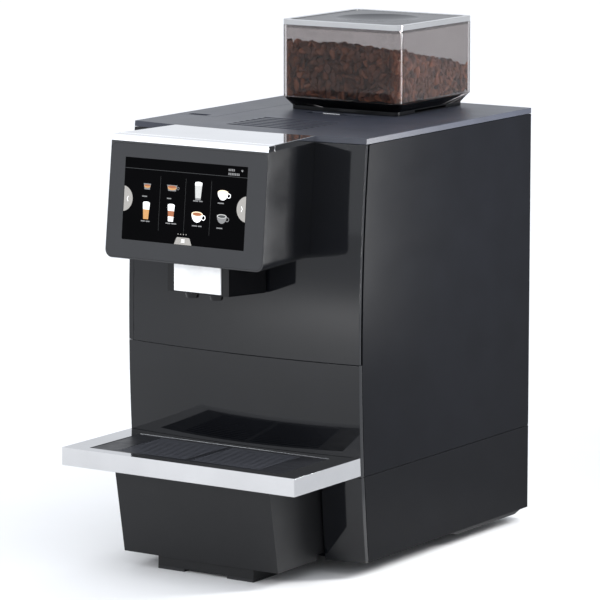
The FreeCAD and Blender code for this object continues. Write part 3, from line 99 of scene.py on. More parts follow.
class BeanSizes(PropertyGroup):
    length: FloatProperty(name="Length", description="Length of a bean", default=0.0128,
                          min=0.004, max=0.02, unit="LENGTH")
    width: FloatProperty(name="Width", description="Width of a bean", default=0.0096,
                         min=0.003, max=0.02, unit="LENGTH")
    thickness: FloatProperty(name="Thickness", description="Thickness of a bean", default=0.0070,
                             min=0.002, max=0.02, unit="LENGTH")
    front_height: FloatProperty(name="Front height", description="Height of the heap at the front",
                                default=0.060, min=0.01, max=0.075, unit="LENGTH")
    back_height: FloatProperty(name="Back height", description="Height of the heap at the back",
                               default=0.034, min=0.01, max=0.075, unit="LENGTH")
    seed: IntProperty(name="Seed", description="Order in which the beans fall", default=7, min=0)


class ScreenPicture(PropertyGroup):
    glow: FloatProperty(name="Glow", description="Brightness of the lit picture", default=0.85,
                        min=0.0, max=10.0)
    icon_width: FloatProperty(name="Drink width", description="Width of a drawn cup", default=0.0098,
                              min=0.003, max=0.02, unit="LENGTH")
    tab_radius: FloatProperty(name="Tab radius", description="Radius of the two side tabs",
                              default=0.0138, min=0.004, max=0.03, unit="LENGTH")


class StudioSetup(PropertyGroup):
    lens: FloatProperty(name="Lens", description="Focal length in millimetres", default=238.6,
                        min=10.0, max=1000.0)
    azimuth: FloatProperty(name="Azimuth", description="Camera angle round the machine",
                           default=math.radians(33.55), subtype="ANGLE")
    elevation: FloatProperty(name="Elevation", description="Camera angle above the table",
                             default=math.radians(9.37), subtype="ANGLE")
    distance: FloatProperty(name="Distance", description="Camera to the middle of the machine",
                            default=4.37248, min=0.5, unit="LENGTH")
    surround: FloatProperty(name="Surround", description="Brightness of the surround on all sides",
                            default=0.55, min=0.0, max=10.0)
    floor_pool: FloatProperty(name="Floor light", description="Power of the light on the floor in front",
                              default=24.0, min=0.0, max=500.0)
    softbox: FloatProperty(name="Softbox", description="Power of the softbox at the side, in watts",
                           default=4.5, min=0.0, max=500.0)


# ---- node helpers --------------------------------------------------------------------------------
class Recipe:
    """One procedural material, built node by node."""

    def __init__(self, name):
        self.material = bpy.data.materials.new(name)
        self.material.use_nodes = True
        self.nodes = self.material.node_tree.nodes
        self.links = self.material.node_tree.links
        self.shader = self.nodes["Principled BSDF"]
        self.place = self.add("ShaderNodeTexCoord").outputs["Object"]

    def add(self, kind, **settings):
        node = self.nodes.new(kind)
        for key, value in settings.items():
            setattr(node, key, value)
        return node

    def join(self, source, target):
        self.links.new(source, target)

    def noise(self, scale, detail=3.0, roughness=0.55, stretch=None):
        node = self.add("ShaderNodeTexNoise")
        node.inputs["Scale"].default_value = scale
        node.inputs["Detail"].default_value = detail
        node.inputs["Roughness"].default_value = roughness
        source = self.place
        if stretch:
            mapping = self.add("ShaderNodeMapping")
            mapping.inputs["Scale"].default_value = stretch
            self.join(source, mapping.inputs["Vector"])
            source = mapping.outputs["Vector"]
        self.join(source, node.inputs["Vector"])
        return node.outputs["Fac"]

    def spread(self, source, low, high, from_low=0.3, from_high=0.7):
        node = self.add("ShaderNodeMapRange")
        node.inputs["From Min"].default_value = from_low
        node.inputs["From Max"].default_value = from_high
        node.inputs["To Min"].default_value = low
        node.inputs["To Max"].default_value = high
        self.join(source, node.inputs["Value"])
        return node.outputs["Result"]

    def blend(self, amount, first, second):
        """Mix of two colours; each is a colour or a socket."""
        node = self.add("ShaderNodeMix", data_type="RGBA")
        self.join(amount, node.inputs["Factor"])
        for socket, value in ((node.inputs[6], first), (node.inputs[7], second)):
            if isinstance(value, bpy.types.NodeSocket):
                self.join(value, socket)
            else:
                socket.default_value = (*value[:3], 1.0)
        return node.outputs[2]

    def times(self, first, second):
        node = self.add("ShaderNodeMath", operation="MULTIPLY")
        for socket, value in zip(node.inputs, (first, second)):
            if isinstance(value, bpy.types.NodeSocket):
                self.join(value, socket)
            else:
                socket.default_value = value
        return node.outputs["Value"]

    def soft_edges(self, radius):
        node = self.add("ShaderNodeBevel", samples=4)
        node.inputs["Radius"].default_value = radius
        return node.outputs["Normal"]

    def bump(self, height, strength, distance, normal=None):
        node = self.add("ShaderNodeBump")
        node.inputs["Strength"].default_value = strength
        node.inputs["Distance"].default_value = distance
        self.join(height, node.inputs["Height"])
        if normal:
            self.join(normal, node.inputs["Normal"])
        return node.outputs["Normal"]

    def worn_edges(self, rounded):
        """Factor that rises where the rounded normal leaves the flat one."""
        geometry = self.add("ShaderNodeNewGeometry")
        dot = self.add("ShaderNodeVectorMath", operation="DOT_PRODUCT")
        self.join(rounded, dot.inputs[0])
        self.join(geometry.outputs["Normal"], dot.inputs[1])
        return self.spread(dot.outputs["Value"], 1.0, 0.0, 0.80, 0.985)

    def colour(self, source):
        self.join(source, self.shader.inputs["Base Color"])

    def set(self, **values):
        for key, value in values.items():
            self.shader.inputs[key.replace("_", " ")].default_value = value


def lighter(rgb, amount):
    return tuple(min(1.0, c * amount) for c in rgb[:3])


def coated_finish(name, rgb, rough, rough_spread, grain, bump_depth, edge_gain=2.2, **shader):
    """Paint or moulded plastic: clouded colour, uneven gloss, fine relief, worn edges."""
    r = Recipe(name)
    rounded = r.soft_edges(0.0007)
    clouds = r.spread(r.noise(22.0, 4.0), 0.0, 1.0)
    body = r.blend(clouds, lighter(rgb, 0.88), lighter(rgb, 1.14))
    wear = r.times(r.worn_edges(rounded), r.spread(r.noise(310.0, 5.0), 0.0, 0.8))
    r.colour(r.blend(wear, body, lighter(rgb, edge_gain)))
    smears = r.noise(9.0, 6.0, 0.62, (1.0, 1.0, 2.4))
    r.join(r.spread(smears, rough - rough_spread, rough + rough_spread), r.shader.inputs["Roughness"])
    relief = r.noise(grain, 2.0)
    r.join(r.bump(relief, 0.35, bump_depth, rounded), r.shader.inputs["Normal"])
    r.set(**shader)
    return r.material


def metal_finish(name, rgb, rough, rough_spread, brush, bump_depth, stretch=(1.0, 1.0, 1.0)):
    """Metal with fine brush lines or polish marks and slightly dulled edges."""
    r = Recipe(name)
    rounded = r.soft_edges(0.0006)
    lines = r.noise(brush, 5.0, 0.6, stretch)
    tarnish = r.spread(r.noise(14.0, 5.0), 0.0, 1.0)
    body = r.blend(tarnish, lighter(rgb, 0.93), lighter(rgb, 1.03))
    r.colour(r.blend(r.times(r.worn_edges(rounded), 0.35), body, lighter(rgb, 1.15)))
    r.join(r.spread(lines, rough - rough_spread, rough + rough_spread), r.shader.inputs["Roughness"])
    r.join(r.bump(lines, 0.25, bump_depth, rounded), r.shader.inputs["Normal"])
    r.set(Metallic=1.0)
    return r.material


def clear_finish(name, rgb, rough, ior=1.49):
    """Clear tinted plastic with faint moulding waves and fine scratches."""
    r = Recipe(name)
    clouds = r.spread(r.noise(16.0, 3.0), 0.0, 1.0)
    r.colour(r.blend(clouds, lighter(rgb, 0.95), lighter(rgb, 1.05)))
    scratches = r.noise(420.0, 2.0, 0.5, (1.0, 1.0, 0.12))
    r.join(r.spread(scratches, rough * 0.5, rough * 1.6), r.shader.inputs["Roughness"])
    r.join(r.bump(r.noise(26.0, 2.0), 0.08, 0.0004), r.shader.inputs["Normal"])
    r.set(IOR=ior, Transmission_Weight=1.0)
    return r.material


def lit_finish(name, rgb, glow, dim=0.88):
    """Lit picture colour with a fine dot pattern."""
    r = Recipe(name)
    dots = r.spread(r.noise(1900.0, 1.0), 0.0, 1.0)
    tone = r.blend(dots, lighter(rgb, dim), rgb)
    r.colour(tone)
    r.join(tone, r.shader.inputs["Emission Color"])
    r.join(r.spread(dots, 0.10, 0.16, 0.0, 1.0), r.shader.inputs["Roughness"])
    r.set(Emission_Strength=glow)
    return r.material


def rib_highlight_finish(name, top, lit_flank):
    """Enamel whose ribs' flanks are painted lighter than its upward faces: a painted highlight on the
    flanks.
    """
    r = Recipe(name)
    geometry = r.add("ShaderNodeNewGeometry")
    parts = r.add("ShaderNodeSeparateXYZ")
    r.join(geometry.outputs["Normal"], parts.inputs["Vector"])
    upward = r.spread(parts.outputs["Z"], 0.0, 1.0, 0.4, 0.8)
    speckle = r.spread(r.noise(700.0, 3.0), 0.0, 1.0)
    # The flanks take the lighter colour and the upward faces the darker one: painted highlight on the
    # ribs.
    r.colour(r.blend(upward, r.blend(speckle, lit_flank, lighter(lit_flank, 0.8)),
                     r.blend(speckle, top, lighter(top, 1.2))))
    r.join(r.spread(r.noise(90.0, 4.0), 0.30, 0.42), r.shader.inputs["Roughness"])
    r.join(r.bump(r.noise(900.0, 2.0), 0.3, 0.00005, r.soft_edges(0.0004)), r.shader.inputs["Normal"])
    r.set(Specular_IOR_Level=0.10)
    return r.material


def bean_finish(name, rgb):
    """Roasted skin: darker and lighter beans, oily patches, fine wrinkles."""
    r = Recipe(name)
    tint = r.add("ShaderNodeAttribute", attribute_name="roast").outputs["Fac"]
    dark = r.blend(r.spread(r.noise(240.0, 4.0), 0.0, 1.0), lighter(rgb, 0.55), rgb)
    r.colour(r.blend(tint, dark, lighter(rgb, 1.9)))
    r.join(r.spread(r.noise(150.0, 3.0), 0.30, 0.55), r.shader.inputs["Roughness"])
    r.join(r.bump(r.noise(900.0, 4.0), 0.5, 0.0003), r.shader.inputs["Normal"])
    return r.material


def dress(material, *nodes):
    """Gives CAD nodes a material."""
    for name in nodes:
        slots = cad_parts[name].data.materials
        slots.clear()
        slots.append(material)


def finish_piece(name, bm, materials, body, smooth=True):
    """Turns a bmesh into a piece that rides on a body."""
    mesh = bpy.data.meshes.new(name)
    bm.to_mesh(mesh)
    bm.free()
    for material in materials:
        mesh.materials.append(material)
    for polygon in mesh.polygons:
        polygon.use_smooth = smooth
    piece = bpy.data.objects.new(name, mesh)
    bpy.context.scene.collection.objects.link(piece)
    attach(piece, body)
    return piece


# ---- finishes of the CAD nodes -------------------------------------------------------------------
class COFFEE_OT_finish_covers(Operator):
    """Gloss of the door and fronts, satin paint of the sides, and on the top a lighter copy of it as
    painted light
    """
    bl_idname = "coffee.finish_covers"
    bl_label = "Finish the covers"

    def execute(self, context):
        colours = context.scene.coffee_colours
        gloss = coated_finish("door_gloss", colours.door_gloss, 0.055, 0.022, 520.0, 0.00002,
                              Specular_IOR_Level=0.36)
        dress(gloss, "door_leaf", "hinge_trim", "lower_front_panel", "base_front_panel")
        head = coated_finish("head_gloss", colours.door_gloss, 0.21, 0.04, 520.0, 0.00002,
                             Specular_IOR_Level=0.62)
        dress(head, "head_housing")
        paint = coated_finish("side_paint", colours.side_paint, 0.34, 0.035, 900.0, 0.00006,
                              Specular_IOR_Level=0.05)
        dress(paint, "side_panel_left", "side_panel_right")
        # The top panel and the tank lid take the side paint nine times lighter: painted light on the
        # upward faces.
        cover = coated_finish("top_painted_light", lighter(colours.side_paint, 9.0), 0.40, 0.04, 900.0, 0.00006,
                              Specular_IOR_Level=0.40)
        dress(cover, "top_panel", "tank_lid")
        base = coated_finish("base_paint", lighter(colours.side_paint, 0.75), 0.38, 0.04, 900.0, 0.00006,
                             Specular_IOR_Level=0.06)
        dress(base, "base_pan")
        return {"FINISHED"}


class COFFEE_OT_finish_moulded(Operator):
    """Black moulded plastics: tub, grid, spout, feet and inner mouldings"""
    bl_idname = "coffee.finish_moulded"
    bl_label = "Finish the mouldings"

    def execute(self, context):
        rgb = context.scene.coffee_colours.moulding
        grained = coated_finish("grained_black", lighter(rgb, 0.7), 0.42, 0.05, 1500.0, 0.00012,
                                Specular_IOR_Level=0.32)
        dress(grained, "drip_tub", "foot_blocks", "grounds_bin", "drawer_rails", "door_inner",
              "tank_dock", "ground_chute", "fan_housing", "fan_rotor", "switch_bezel", "power_inlet",
              "hopper_shutter")
        smooth = coated_finish("smooth_black", lighter(rgb, 0.7), 0.22, 0.04, 800.0, 0.00004,
                               Specular_IOR_Level=0.22)
        dress(smooth, "spout_block", "nozzles", "hopper_neck")
        # The grid's flanks are painted thirteen times lighter than the moulding, a painted highlight; its
        # upward faces 2.6 times.
        dress(rib_highlight_finish("grid_rib_highlight", lighter(rgb, 2.6), lighter(rgb, 13.0)), "drip_grid")
        rubber = coated_finish("feet_rubber", lighter(rgb, 1.3), 0.75, 0.08, 1100.0, 0.0002)
        dress(rubber, "rubber_feet")
        red = coated_finish("signal_red", (0.42, 0.018, 0.014), 0.30, 0.05, 900.0, 0.00005, edge_gain=1.3)
        dress(red, "level_float", "rocker_switch")
        white = coated_finish("white_plate", (0.90, 0.90, 0.895), 0.22, 0.04, 700.0, 0.00003,
                              edge_gain=1.05)
        dress(white, "badge_plate")
        grey = coated_finish("brew_grey", (0.085, 0.086, 0.092), 0.40, 0.05, 1300.0, 0.0001)
        dress(grey, "brew_frame")
        board = coated_finish("board_green", (0.012, 0.085, 0.034), 0.35, 0.06, 260.0, 0.0001)
        dress(board, "control_board")
        hose = coated_finish("hose_white", (0.62, 0.61, 0.58), 0.45, 0.06, 500.0, 0.00008, edge_gain=1.1)
        dress(hose, "pressure_hose")
        return {"FINISHED"}


class COFFEE_OT_finish_metal(Operator):
    """Polished strip and tray frame, sheet metal, castings, burrs and brass"""
    bl_idname = "coffee.finish_metal"
    bl_label = "Finish the metalwork"

    def execute(self, context):
        silver = context.scene.coffee_colours.silver
        mirror = metal_finish("silver_mirror", silver, 0.045, 0.02, 60.0, 0.00001)
        dress(mirror, "head_top_plate", "head_trim", "hopper_lock")
        rim = metal_finish("rim_plating", lighter(silver, 0.55), 0.10, 0.03, 60.0, 0.00001)
        dress(rim, "lid_frame")
        polished = metal_finish("tray_polish", lighter(silver, 0.62), 0.075, 0.025, 180.0, 0.00001,
                                (0.1, 1.0, 1.0))
        dress(polished, "tray_frame")
        zinc = metal_finish("zinc_sheet", (0.47, 0.48, 0.50), 0.34, 0.08, 55.0, 0.00003)
        dress(zinc, "inner_frame", "frame_fittings", "back_panel", "grinder_stand")
        ground = metal_finish("ground_steel", (0.55, 0.55, 0.56), 0.22, 0.06, 600.0, 0.00002,
                              (1.0, 1.0, 0.1))
        dress(ground, "hinge_pins", "tank_hinge", "brew_piston", "upper_burr", "lower_burr")
        can = metal_finish("motor_can", (0.36, 0.36, 0.37), 0.32, 0.06, 240.0, 0.00003, (1.0, 1.0, 0.15))
        dress(can, "grinder_motor", "pump")
        cast = metal_finish("cast_alloy", (0.50, 0.50, 0.51), 0.48, 0.08, 420.0, 0.00012)
        dress(cast, "grinder_housing", "door_fittings")
        brass = metal_finish("turned_brass", (0.62, 0.44, 0.17), 0.26, 0.06, 300.0, 0.00003,
                             (1.0, 1.0, 0.2))
        dress(brass, "brew_cylinder", "boiler")
        screws = metal_finish("black_screws", (0.10, 0.10, 0.105), 0.36, 0.07, 800.0, 0.00004)
        dress(screws, "back_screws")
        return {"FINISHED"}


class COFFEE_OT_finish_clear(Operator):
    """Smoked hopper, dark lid plate, water tank and the black glass round the screen"""
    bl_idname = "coffee.finish_clear"
    bl_label = "Finish the clear parts"

    def execute(self, context):
        smoked = context.scene.coffee_colours.smoked
        dress(clear_finish("smoked_wall", smoked, 0.03, ior=1.30), "hopper_body")
        dress(clear_finish("tank_wall", (0.62, 0.66, 0.70), 0.06), "water_tank")
        lid = coated_finish("lid_dark", (0.010, 0.012, 0.018), 0.16, 0.03, 500.0, 0.00002,
                            Specular_IOR_Level=0.03)
        dress(lid, "lid_glass")
        glass = coated_finish("screen_border", (0.0075, 0.0080, 0.0100), 0.075, 0.02, 400.0, 0.00001,
                              edge_gain=1.6)
        dress(glass, "display_glass")
        picture = coated_finish("screen_black", (0.0012, 0.0012, 0.0015), 0.30, 0.04, 1800.0, 0.00001,
                                edge_gain=1.0, Specular_IOR_Level=0.015)
        dress(picture, "display_screen")
        return {"FINISHED"}


# ---- picture on the screen -----------------------------------------------------------------------
class ScreenPlane:
    """Flat shapes drawn just in front of the screen; u runs right, v up, in metres."""

    def __init__(self):
        lo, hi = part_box("display_screen")
        self.width = hi.x - lo.x
        self.up = Vector((0.0, math.sin(HEAD_TILT), math.cos(HEAD_TILT)))
        self.out = Vector((0.0, -math.cos(HEAD_TILT), math.sin(HEAD_TILT)))
        self.corner = Vector((lo.x, lo.y, lo.z + SCREEN_SLAB * math.sin(HEAD_TILT)))
        self.height = (hi.z - self.corner.z) / math.cos(HEAD_TILT)
        self.bm = bmesh.new()

    def place(self, u, v, lift):
        return self.corner + Vector((u, 0.0, 0.0)) + self.up * v + self.out * lift

    def shape(self, outline, ink, lift=FLAT):
        """Thin plate with this outline in one of the inks."""
        corners = [self.bm.verts.new(self.place(u, v, lift)) for u, v in outline]
        face = self.bm.faces.new(corners)
        face.normal_update()
        if face.normal.dot(self.out) < 0:
            face.normal_flip()
        face.material_index = ink

    def bar(self, u0, u1, v0, v1, ink, lift=FLAT):
        self.shape([(u0, v0), (u1, v0), (u1, v1), (u0, v1)], ink, lift)

    def disc(self, u, v, radius, ink, lift=FLAT, squash=1.0, turn=(0.0, 2 * math.pi), steps=20):
        """Disc or, for less than a full turn, a segment; squash makes it an ellipse."""
        first, last = turn
        open_arc = last - first < 6
        outline = []
        for k in range(steps):
            angle = first + (last - first) * k / (steps - 1 if open_arc else steps)
            outline.append((u + radius * math.cos(angle), v + radius * squash * math.sin(angle)))
        self.shape(outline, ink, lift)

    def ring(self, u, v, radius, thick, ink, lift=FLAT, steps=18):
        for k in range(steps):
            a, b = (2 * math.pi * i / steps for i in (k, k + 1))
            outline = [(u + q * math.cos(t), v + q * math.sin(t))
                       for q, t in ((radius, a), (radius, b), (radius - thick, b), (radius - thick, a))]
            self.shape(outline, ink, lift)


WHITE, CREAM, AMBER, BROWN, TAB, LINE, DIM, FROST = range(8)
INKS = (("ink_white", (0.78, 0.78, 0.77)), ("ink_cream", (0.72, 0.60, 0.42)),
        ("ink_amber", (0.36, 0.18, 0.055)), ("ink_brown", (0.22, 0.07, 0.022)),
        ("ink_tab", (0.22, 0.21, 0.195)), ("ink_line", (0.022, 0.024, 0.024)),
        ("ink_dim", (0.13, 0.13, 0.13)), ("ink_frost", (0.36, 0.36, 0.35)))


def draw_cup(plane, u, v, w, fill, china=WHITE, rim=CREAM):
    """Rounded cup with a handle and a ring of coffee."""
    plane.ring(u + w * 0.56, v - w * 0.02, w * 0.20, w * 0.06, china)
    plane.disc(u, v + w * 0.22, w * 0.5, china, RAISED, 1.25, (math.pi, 2 * math.pi), 22)
    plane.disc(u, v + w * 0.22, w * 0.5, rim, RIM, 0.36)
    plane.disc(u, v + w * 0.21, w * 0.42, fill, FILL, 0.30)


def draw_espresso(plane, u, v, w, wide):
    """Low glass with coffee, seen from the side."""
    plane.shape([(u - w * wide * 0.36, v - w * 0.34), (u + w * wide * 0.36, v - w * 0.34),
                 (u + w * wide * 0.5, v + w * 0.30), (u - w * wide * 0.5, v + w * 0.30)], DIM)
    plane.disc(u, v, w * wide * 0.42, AMBER, RAISED, 0.42)
    plane.disc(u, v + w * 0.10, w * wide * 0.42, BROWN, RIM, 0.26)
    if wide > 1:
        plane.ring(u + w * wide * 0.58, v - w * 0.02, w * 0.16, w * 0.05, DIM)


def draw_glass(plane, u, v, w, layers):
    """Tall glass with layers listed from the bottom, each an ink and its share of the height."""
    height = w * 1.62
    base = v - height / 2
    level = 0.0
    for ink, share in layers:
        top = min(1.0, level + share)
        r0, r1 = (w * (0.30 + 0.12 * q) for q in (level, top))
        plane.shape([(u - r0, base + height * level), (u + r0, base + height * level),
                     (u + r1, base + height * top), (u - r1, base + height * top)], ink, RAISED)
        level = top
    plane.disc(u, base + height, w * 0.42, layers[-1][0], RIM, 0.32)


class COFFEE_OT_screen_picture(Operator):
    """Lit menu: eight drinks, dividers, page dots and three tabs, without any lettering"""
    bl_idname = "coffee.screen_picture"
    bl_label = "Draw the screen picture"

    def execute(self, context):
        setup = context.scene.coffee_screen
        plane = ScreenPlane()
        width, height = plane.width, plane.height
        w = setup.icon_width

        def at(a, b):
            return a * width, b * height

        plane.bar(0.0, width, height * 0.868, height * 0.872, LINE)
        for a in (0.298, 0.506, 0.714):
            plane.bar(a * width - 0.0001, a * width + 0.0001, height * 0.14, height * 0.80, LINE)
        columns = (0.19, 0.395, 0.61, 0.81)
        draw_espresso(plane, *at(columns[0], 0.665), w, 0.95)
        draw_espresso(plane, *at(columns[1], 0.672), w, 1.35)
        draw_glass(plane, *at(columns[2], 0.655), w * 1.12, [(DIM, 0.12), (FROST, 0.74), (WHITE, 0.14)])
        draw_cup(plane, *at(columns[3], 0.640), w * 1.35, CREAM)
        draw_glass(plane, *at(columns[0], 0.365), w * 1.08, [(AMBER, 0.6), (WHITE, 0.4)])
        draw_glass(plane, *at(columns[1], 0.365), w * 1.08, [(WHITE, 0.30), (BROWN, 0.35), (WHITE, 0.35)])
        draw_cup(plane, *at(columns[2], 0.350), w * 1.45, BROWN)
        draw_cup(plane, *at(columns[3], 0.355), w * 1.25, LINE, DIM, FROST)
        rng = random.Random(3)
        for row in (0.535, 0.235):
            for a in columns:
                u, v = at(a, row)
                u -= 0.006
                for _ in range(rng.choice((1, 2))):
                    long = 0.004 + 0.004 * rng.random()
                    plane.bar(u, u + long, v, v + 0.0012, DIM)
                    u += long + 0.0012
        self.header(plane)
        self.tabs(plane, setup.tab_radius)
        glow = setup.glow
        inks = [lit_finish(name, rgb, glow) for name, rgb in INKS]
        finish_piece("screen_picture", plane.bm, inks, "door", smooth=False)
        return {"FINISHED"}

    def header(self, plane):
        """Two rows of dashes and a fan-shaped signal mark at the top right, page dots below."""
        u, v = plane.width * 0.845, plane.height * 0.935
        for k in range(4):
            plane.bar(u + k * 0.0021, u + k * 0.0021 + 0.0014, v, v + 0.0024, DIM)
        for k in range(7):
            plane.bar(u + k * 0.0021, u + k * 0.0021 + 0.0014, v - 0.0042, v - 0.0018, DIM)
        for k in range(3):
            plane.disc(plane.width * 0.955, v - 0.0003, 0.0010 + 0.0008 * k, WHITE if k == 0 else DIM,
                       RAISED - 0.000004 * k, 1.0, (math.pi / 4, math.pi * 3 / 4), 8)
        for k in range(4):
            plane.disc(plane.width * (0.463 + 0.022 * k), plane.height * 0.125, 0.0006, TAB, steps=10)

    def tabs(self, plane, radius):
        """Half-round tabs with an arrow at both sides and a tapered tab at the foot."""
        middle = plane.height * 0.495
        quarter = math.acos(0.16)
        for side in (-1, 1):
            u = -0.16 * radius if side < 0 else plane.width + 0.16 * radius
            first = -quarter * 0.98 if side < 0 else math.pi - quarter * 0.98
            plane.disc(u, middle, radius, TAB, RIM, 1.0, (first, first + 2 * quarter * 0.98), 26)
            tip = radius * 0.30 if side < 0 else plane.width - radius * 0.30
            for rise in (-1, 1):
                plane.shape([(tip, middle), (tip - side * 0.0014, middle + rise * 0.0030),
                             (tip - side * 0.0020, middle + rise * 0.0026),
                             (tip - side * 0.0006, middle)], WHITE, MARK)
        u = plane.width * 0.505
        plane.shape([(u - 0.0112, 0.0), (u + 0.0112, 0.0), (u + 0.0085, 0.0068), (u + 0.0074, 0.0076),
                     (u - 0.0074, 0.0076), (u - 0.0085, 0.0068)], TAB, RIM)
        for k in range(3):
            plane.bar(u - 0.0022, u + 0.0022, 0.0024 + 0.0013 * k, 0.0030 + 0.0013 * k, WHITE, MARK)


# ---- coffee beans --------------------------------------------------------------------------------
class COFFEE_OT_bean_heap(Operator):
    """Loose beans heaped against the hopper's walls"""
    bl_idname = "coffee.bean_heap"
    bl_label = "Heap the beans"

    def execute(self, context):
        sizes = context.scene.coffee_beans
        lo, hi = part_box("coffee_beans")
        rng = random.Random(sizes.seed)
        waves = [(rng.uniform(25, 60), rng.uniform(25, 60), rng.uniform(0, 6.3)) for _ in range(4)]

        def heap_top(x, y):
            along = (y - lo.y) / (hi.y - lo.y)
            level = lo.z + sizes.front_height + (sizes.back_height - sizes.front_height) * along
            level -= 0.05 * (x - lo.x)
            return level + 0.0013 * sum(math.sin(a * x + b * y + c) for a, b, c in waves)

        seed_bean = self.bean(sizes)
        bm = bmesh.new()
        shade = bm.verts.layers.float.new("roast")
        step_x, step_z = sizes.width * 0.86, sizes.thickness * 0.98
        spots = []
        for side in range(4):
            span = hi.x - lo.x
            for layer in (0.42, 1.25):
                inset = sizes.thickness * layer
                for i in range(int(span / step_x) + 1):
                    run = lo.x + i * step_x
                    across = run if side < 2 else lo.y + i * step_x
                    x, y = ((across, lo.y + inset), (across, hi.y - inset),
                            (lo.x + inset, across), (hi.x - inset, across))[side]
                    z = lo.z + sizes.thickness * 0.5
                    while z < heap_top(x, y):
                        spots.append((x, y, z))
                        z += step_z
        for layer in (0.0, 0.75):
            for i in range(int((hi.x - lo.x) / step_x)):
                for j in range(int((hi.y - lo.y) / step_x)):
                    x, y = lo.x + (i + 0.7) * step_x, lo.y + (j + 0.7) * step_x
                    spots.append((x, y, heap_top(x, y) - layer * sizes.thickness))
        loose = sizes.width * 0.34
        middle = (lo + hi) / 2
        for x, y, z in spots:
            turn = Euler([rng.uniform(0, 2 * math.pi) for _ in range(3)]).to_matrix().to_4x4()
            grow = rng.uniform(0.86, 1.12)
            spot = Vector((x + rng.uniform(-loose, loose), y + rng.uniform(-loose, loose),
                           z + rng.uniform(-loose, loose)))
            self.drop(bm, seed_bean, Matrix.Translation(spot) @ turn @ Matrix.Scale(grow, 4),
                      shade, rng.random() ** 2.2)
        seed_bean.free()
        self.core(bm, lo, hi, heap_top, sizes.thickness)
        self.press_to_walls(bm, lo, hi, middle)
        roasted = bean_finish("roasted_bean", context.scene.coffee_colours.roast)
        piece = finish_piece("bean_heap", bm, [roasted], "hopper")
        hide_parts("coffee_beans")
        return {"FINISHED"}

    def bean(self, sizes):
        """Half-round bean with a groove along its flat side."""
        bm = bmesh.new()
        bmesh.ops.create_uvsphere(bm, u_segments=8, v_segments=5, radius=0.5)
        bmesh.ops.rotate(bm, cent=(0, 0, 0), matrix=Matrix.Rotation(math.pi / 2, 3, "Y"), verts=bm.verts)
        bmesh.ops.scale(bm, vec=(sizes.length, sizes.width, sizes.thickness), verts=bm.verts)
        for vert in bm.verts:
            if vert.co.z < -0.05 * sizes.thickness:
                vert.co.z *= 0.45
                if abs(vert.co.y) < sizes.width * 0.12:
                    vert.co.z *= 0.1
        return bm

    def drop(self, bm, seed_bean, place, shade, roast):
        """Copies the bean into the heap."""
        copies = {}
        for vert in seed_bean.verts:
            copies[vert] = bm.verts.new(place @ vert.co)
            copies[vert][shade] = roast
        for face in seed_bean.faces:
            bm.faces.new([copies[v] for v in face.verts]).smooth = True

    def core(self, bm, lo, hi, heap_top, thickness):
        """Solid middle of the heap, behind the outer beans."""
        inset = thickness * 1.3
        made = bmesh.ops.create_grid(bm, x_segments=12, y_segments=12, size=0.5)["verts"]
        side = (hi.x - lo.x - 2 * inset, hi.y - lo.y - 2 * inset)
        centre = (lo + hi) / 2
        faces = list({f for v in made for f in v.link_faces})
        bmesh.ops.scale(bm, vec=(side[0], side[1], 1.0), verts=made)
        bmesh.ops.translate(bm, vec=(centre.x, centre.y, lo.z + 0.002), verts=made)
        top = bmesh.ops.extrude_face_region(bm, geom=faces)["geom"]
        for vert in (g for g in top if isinstance(g, bmesh.types.BMVert)):
            vert.co.z = heap_top(vert.co.x, vert.co.y) - thickness * 1.1
        bmesh.ops.reverse_faces(bm, faces=[f for f in faces if f.is_valid])

    def press_to_walls(self, bm, lo, hi, middle):
        """Keeps every bean inside the hopper's rounded walls."""
        half = Vector(((hi.x - lo.x) / 2 - WALL_GAP, (hi.y - lo.y) / 2 - WALL_GAP))
        for vert in bm.verts:
            x, y = vert.co.x - middle.x, vert.co.y - middle.y
            x, y = max(-half.x, min(half.x, x)), max(-half.y, min(half.y, y))
            over = Vector((abs(x) - half.x + WALL_CORNER, abs(y) - half.y + WALL_CORNER))
            if over.x > 0 and over.y > 0 and over.length > WALL_CORNER:
                over *= WALL_CORNER / over.length
                x = math.copysign(half.x - WALL_CORNER + over.x, x)
                y = math.copysign(half.y - WALL_CORNER + over.y, y)
            vert.co = (middle.x + x, middle.y + y, max(lo.z + WALL_GAP, vert.co.z))


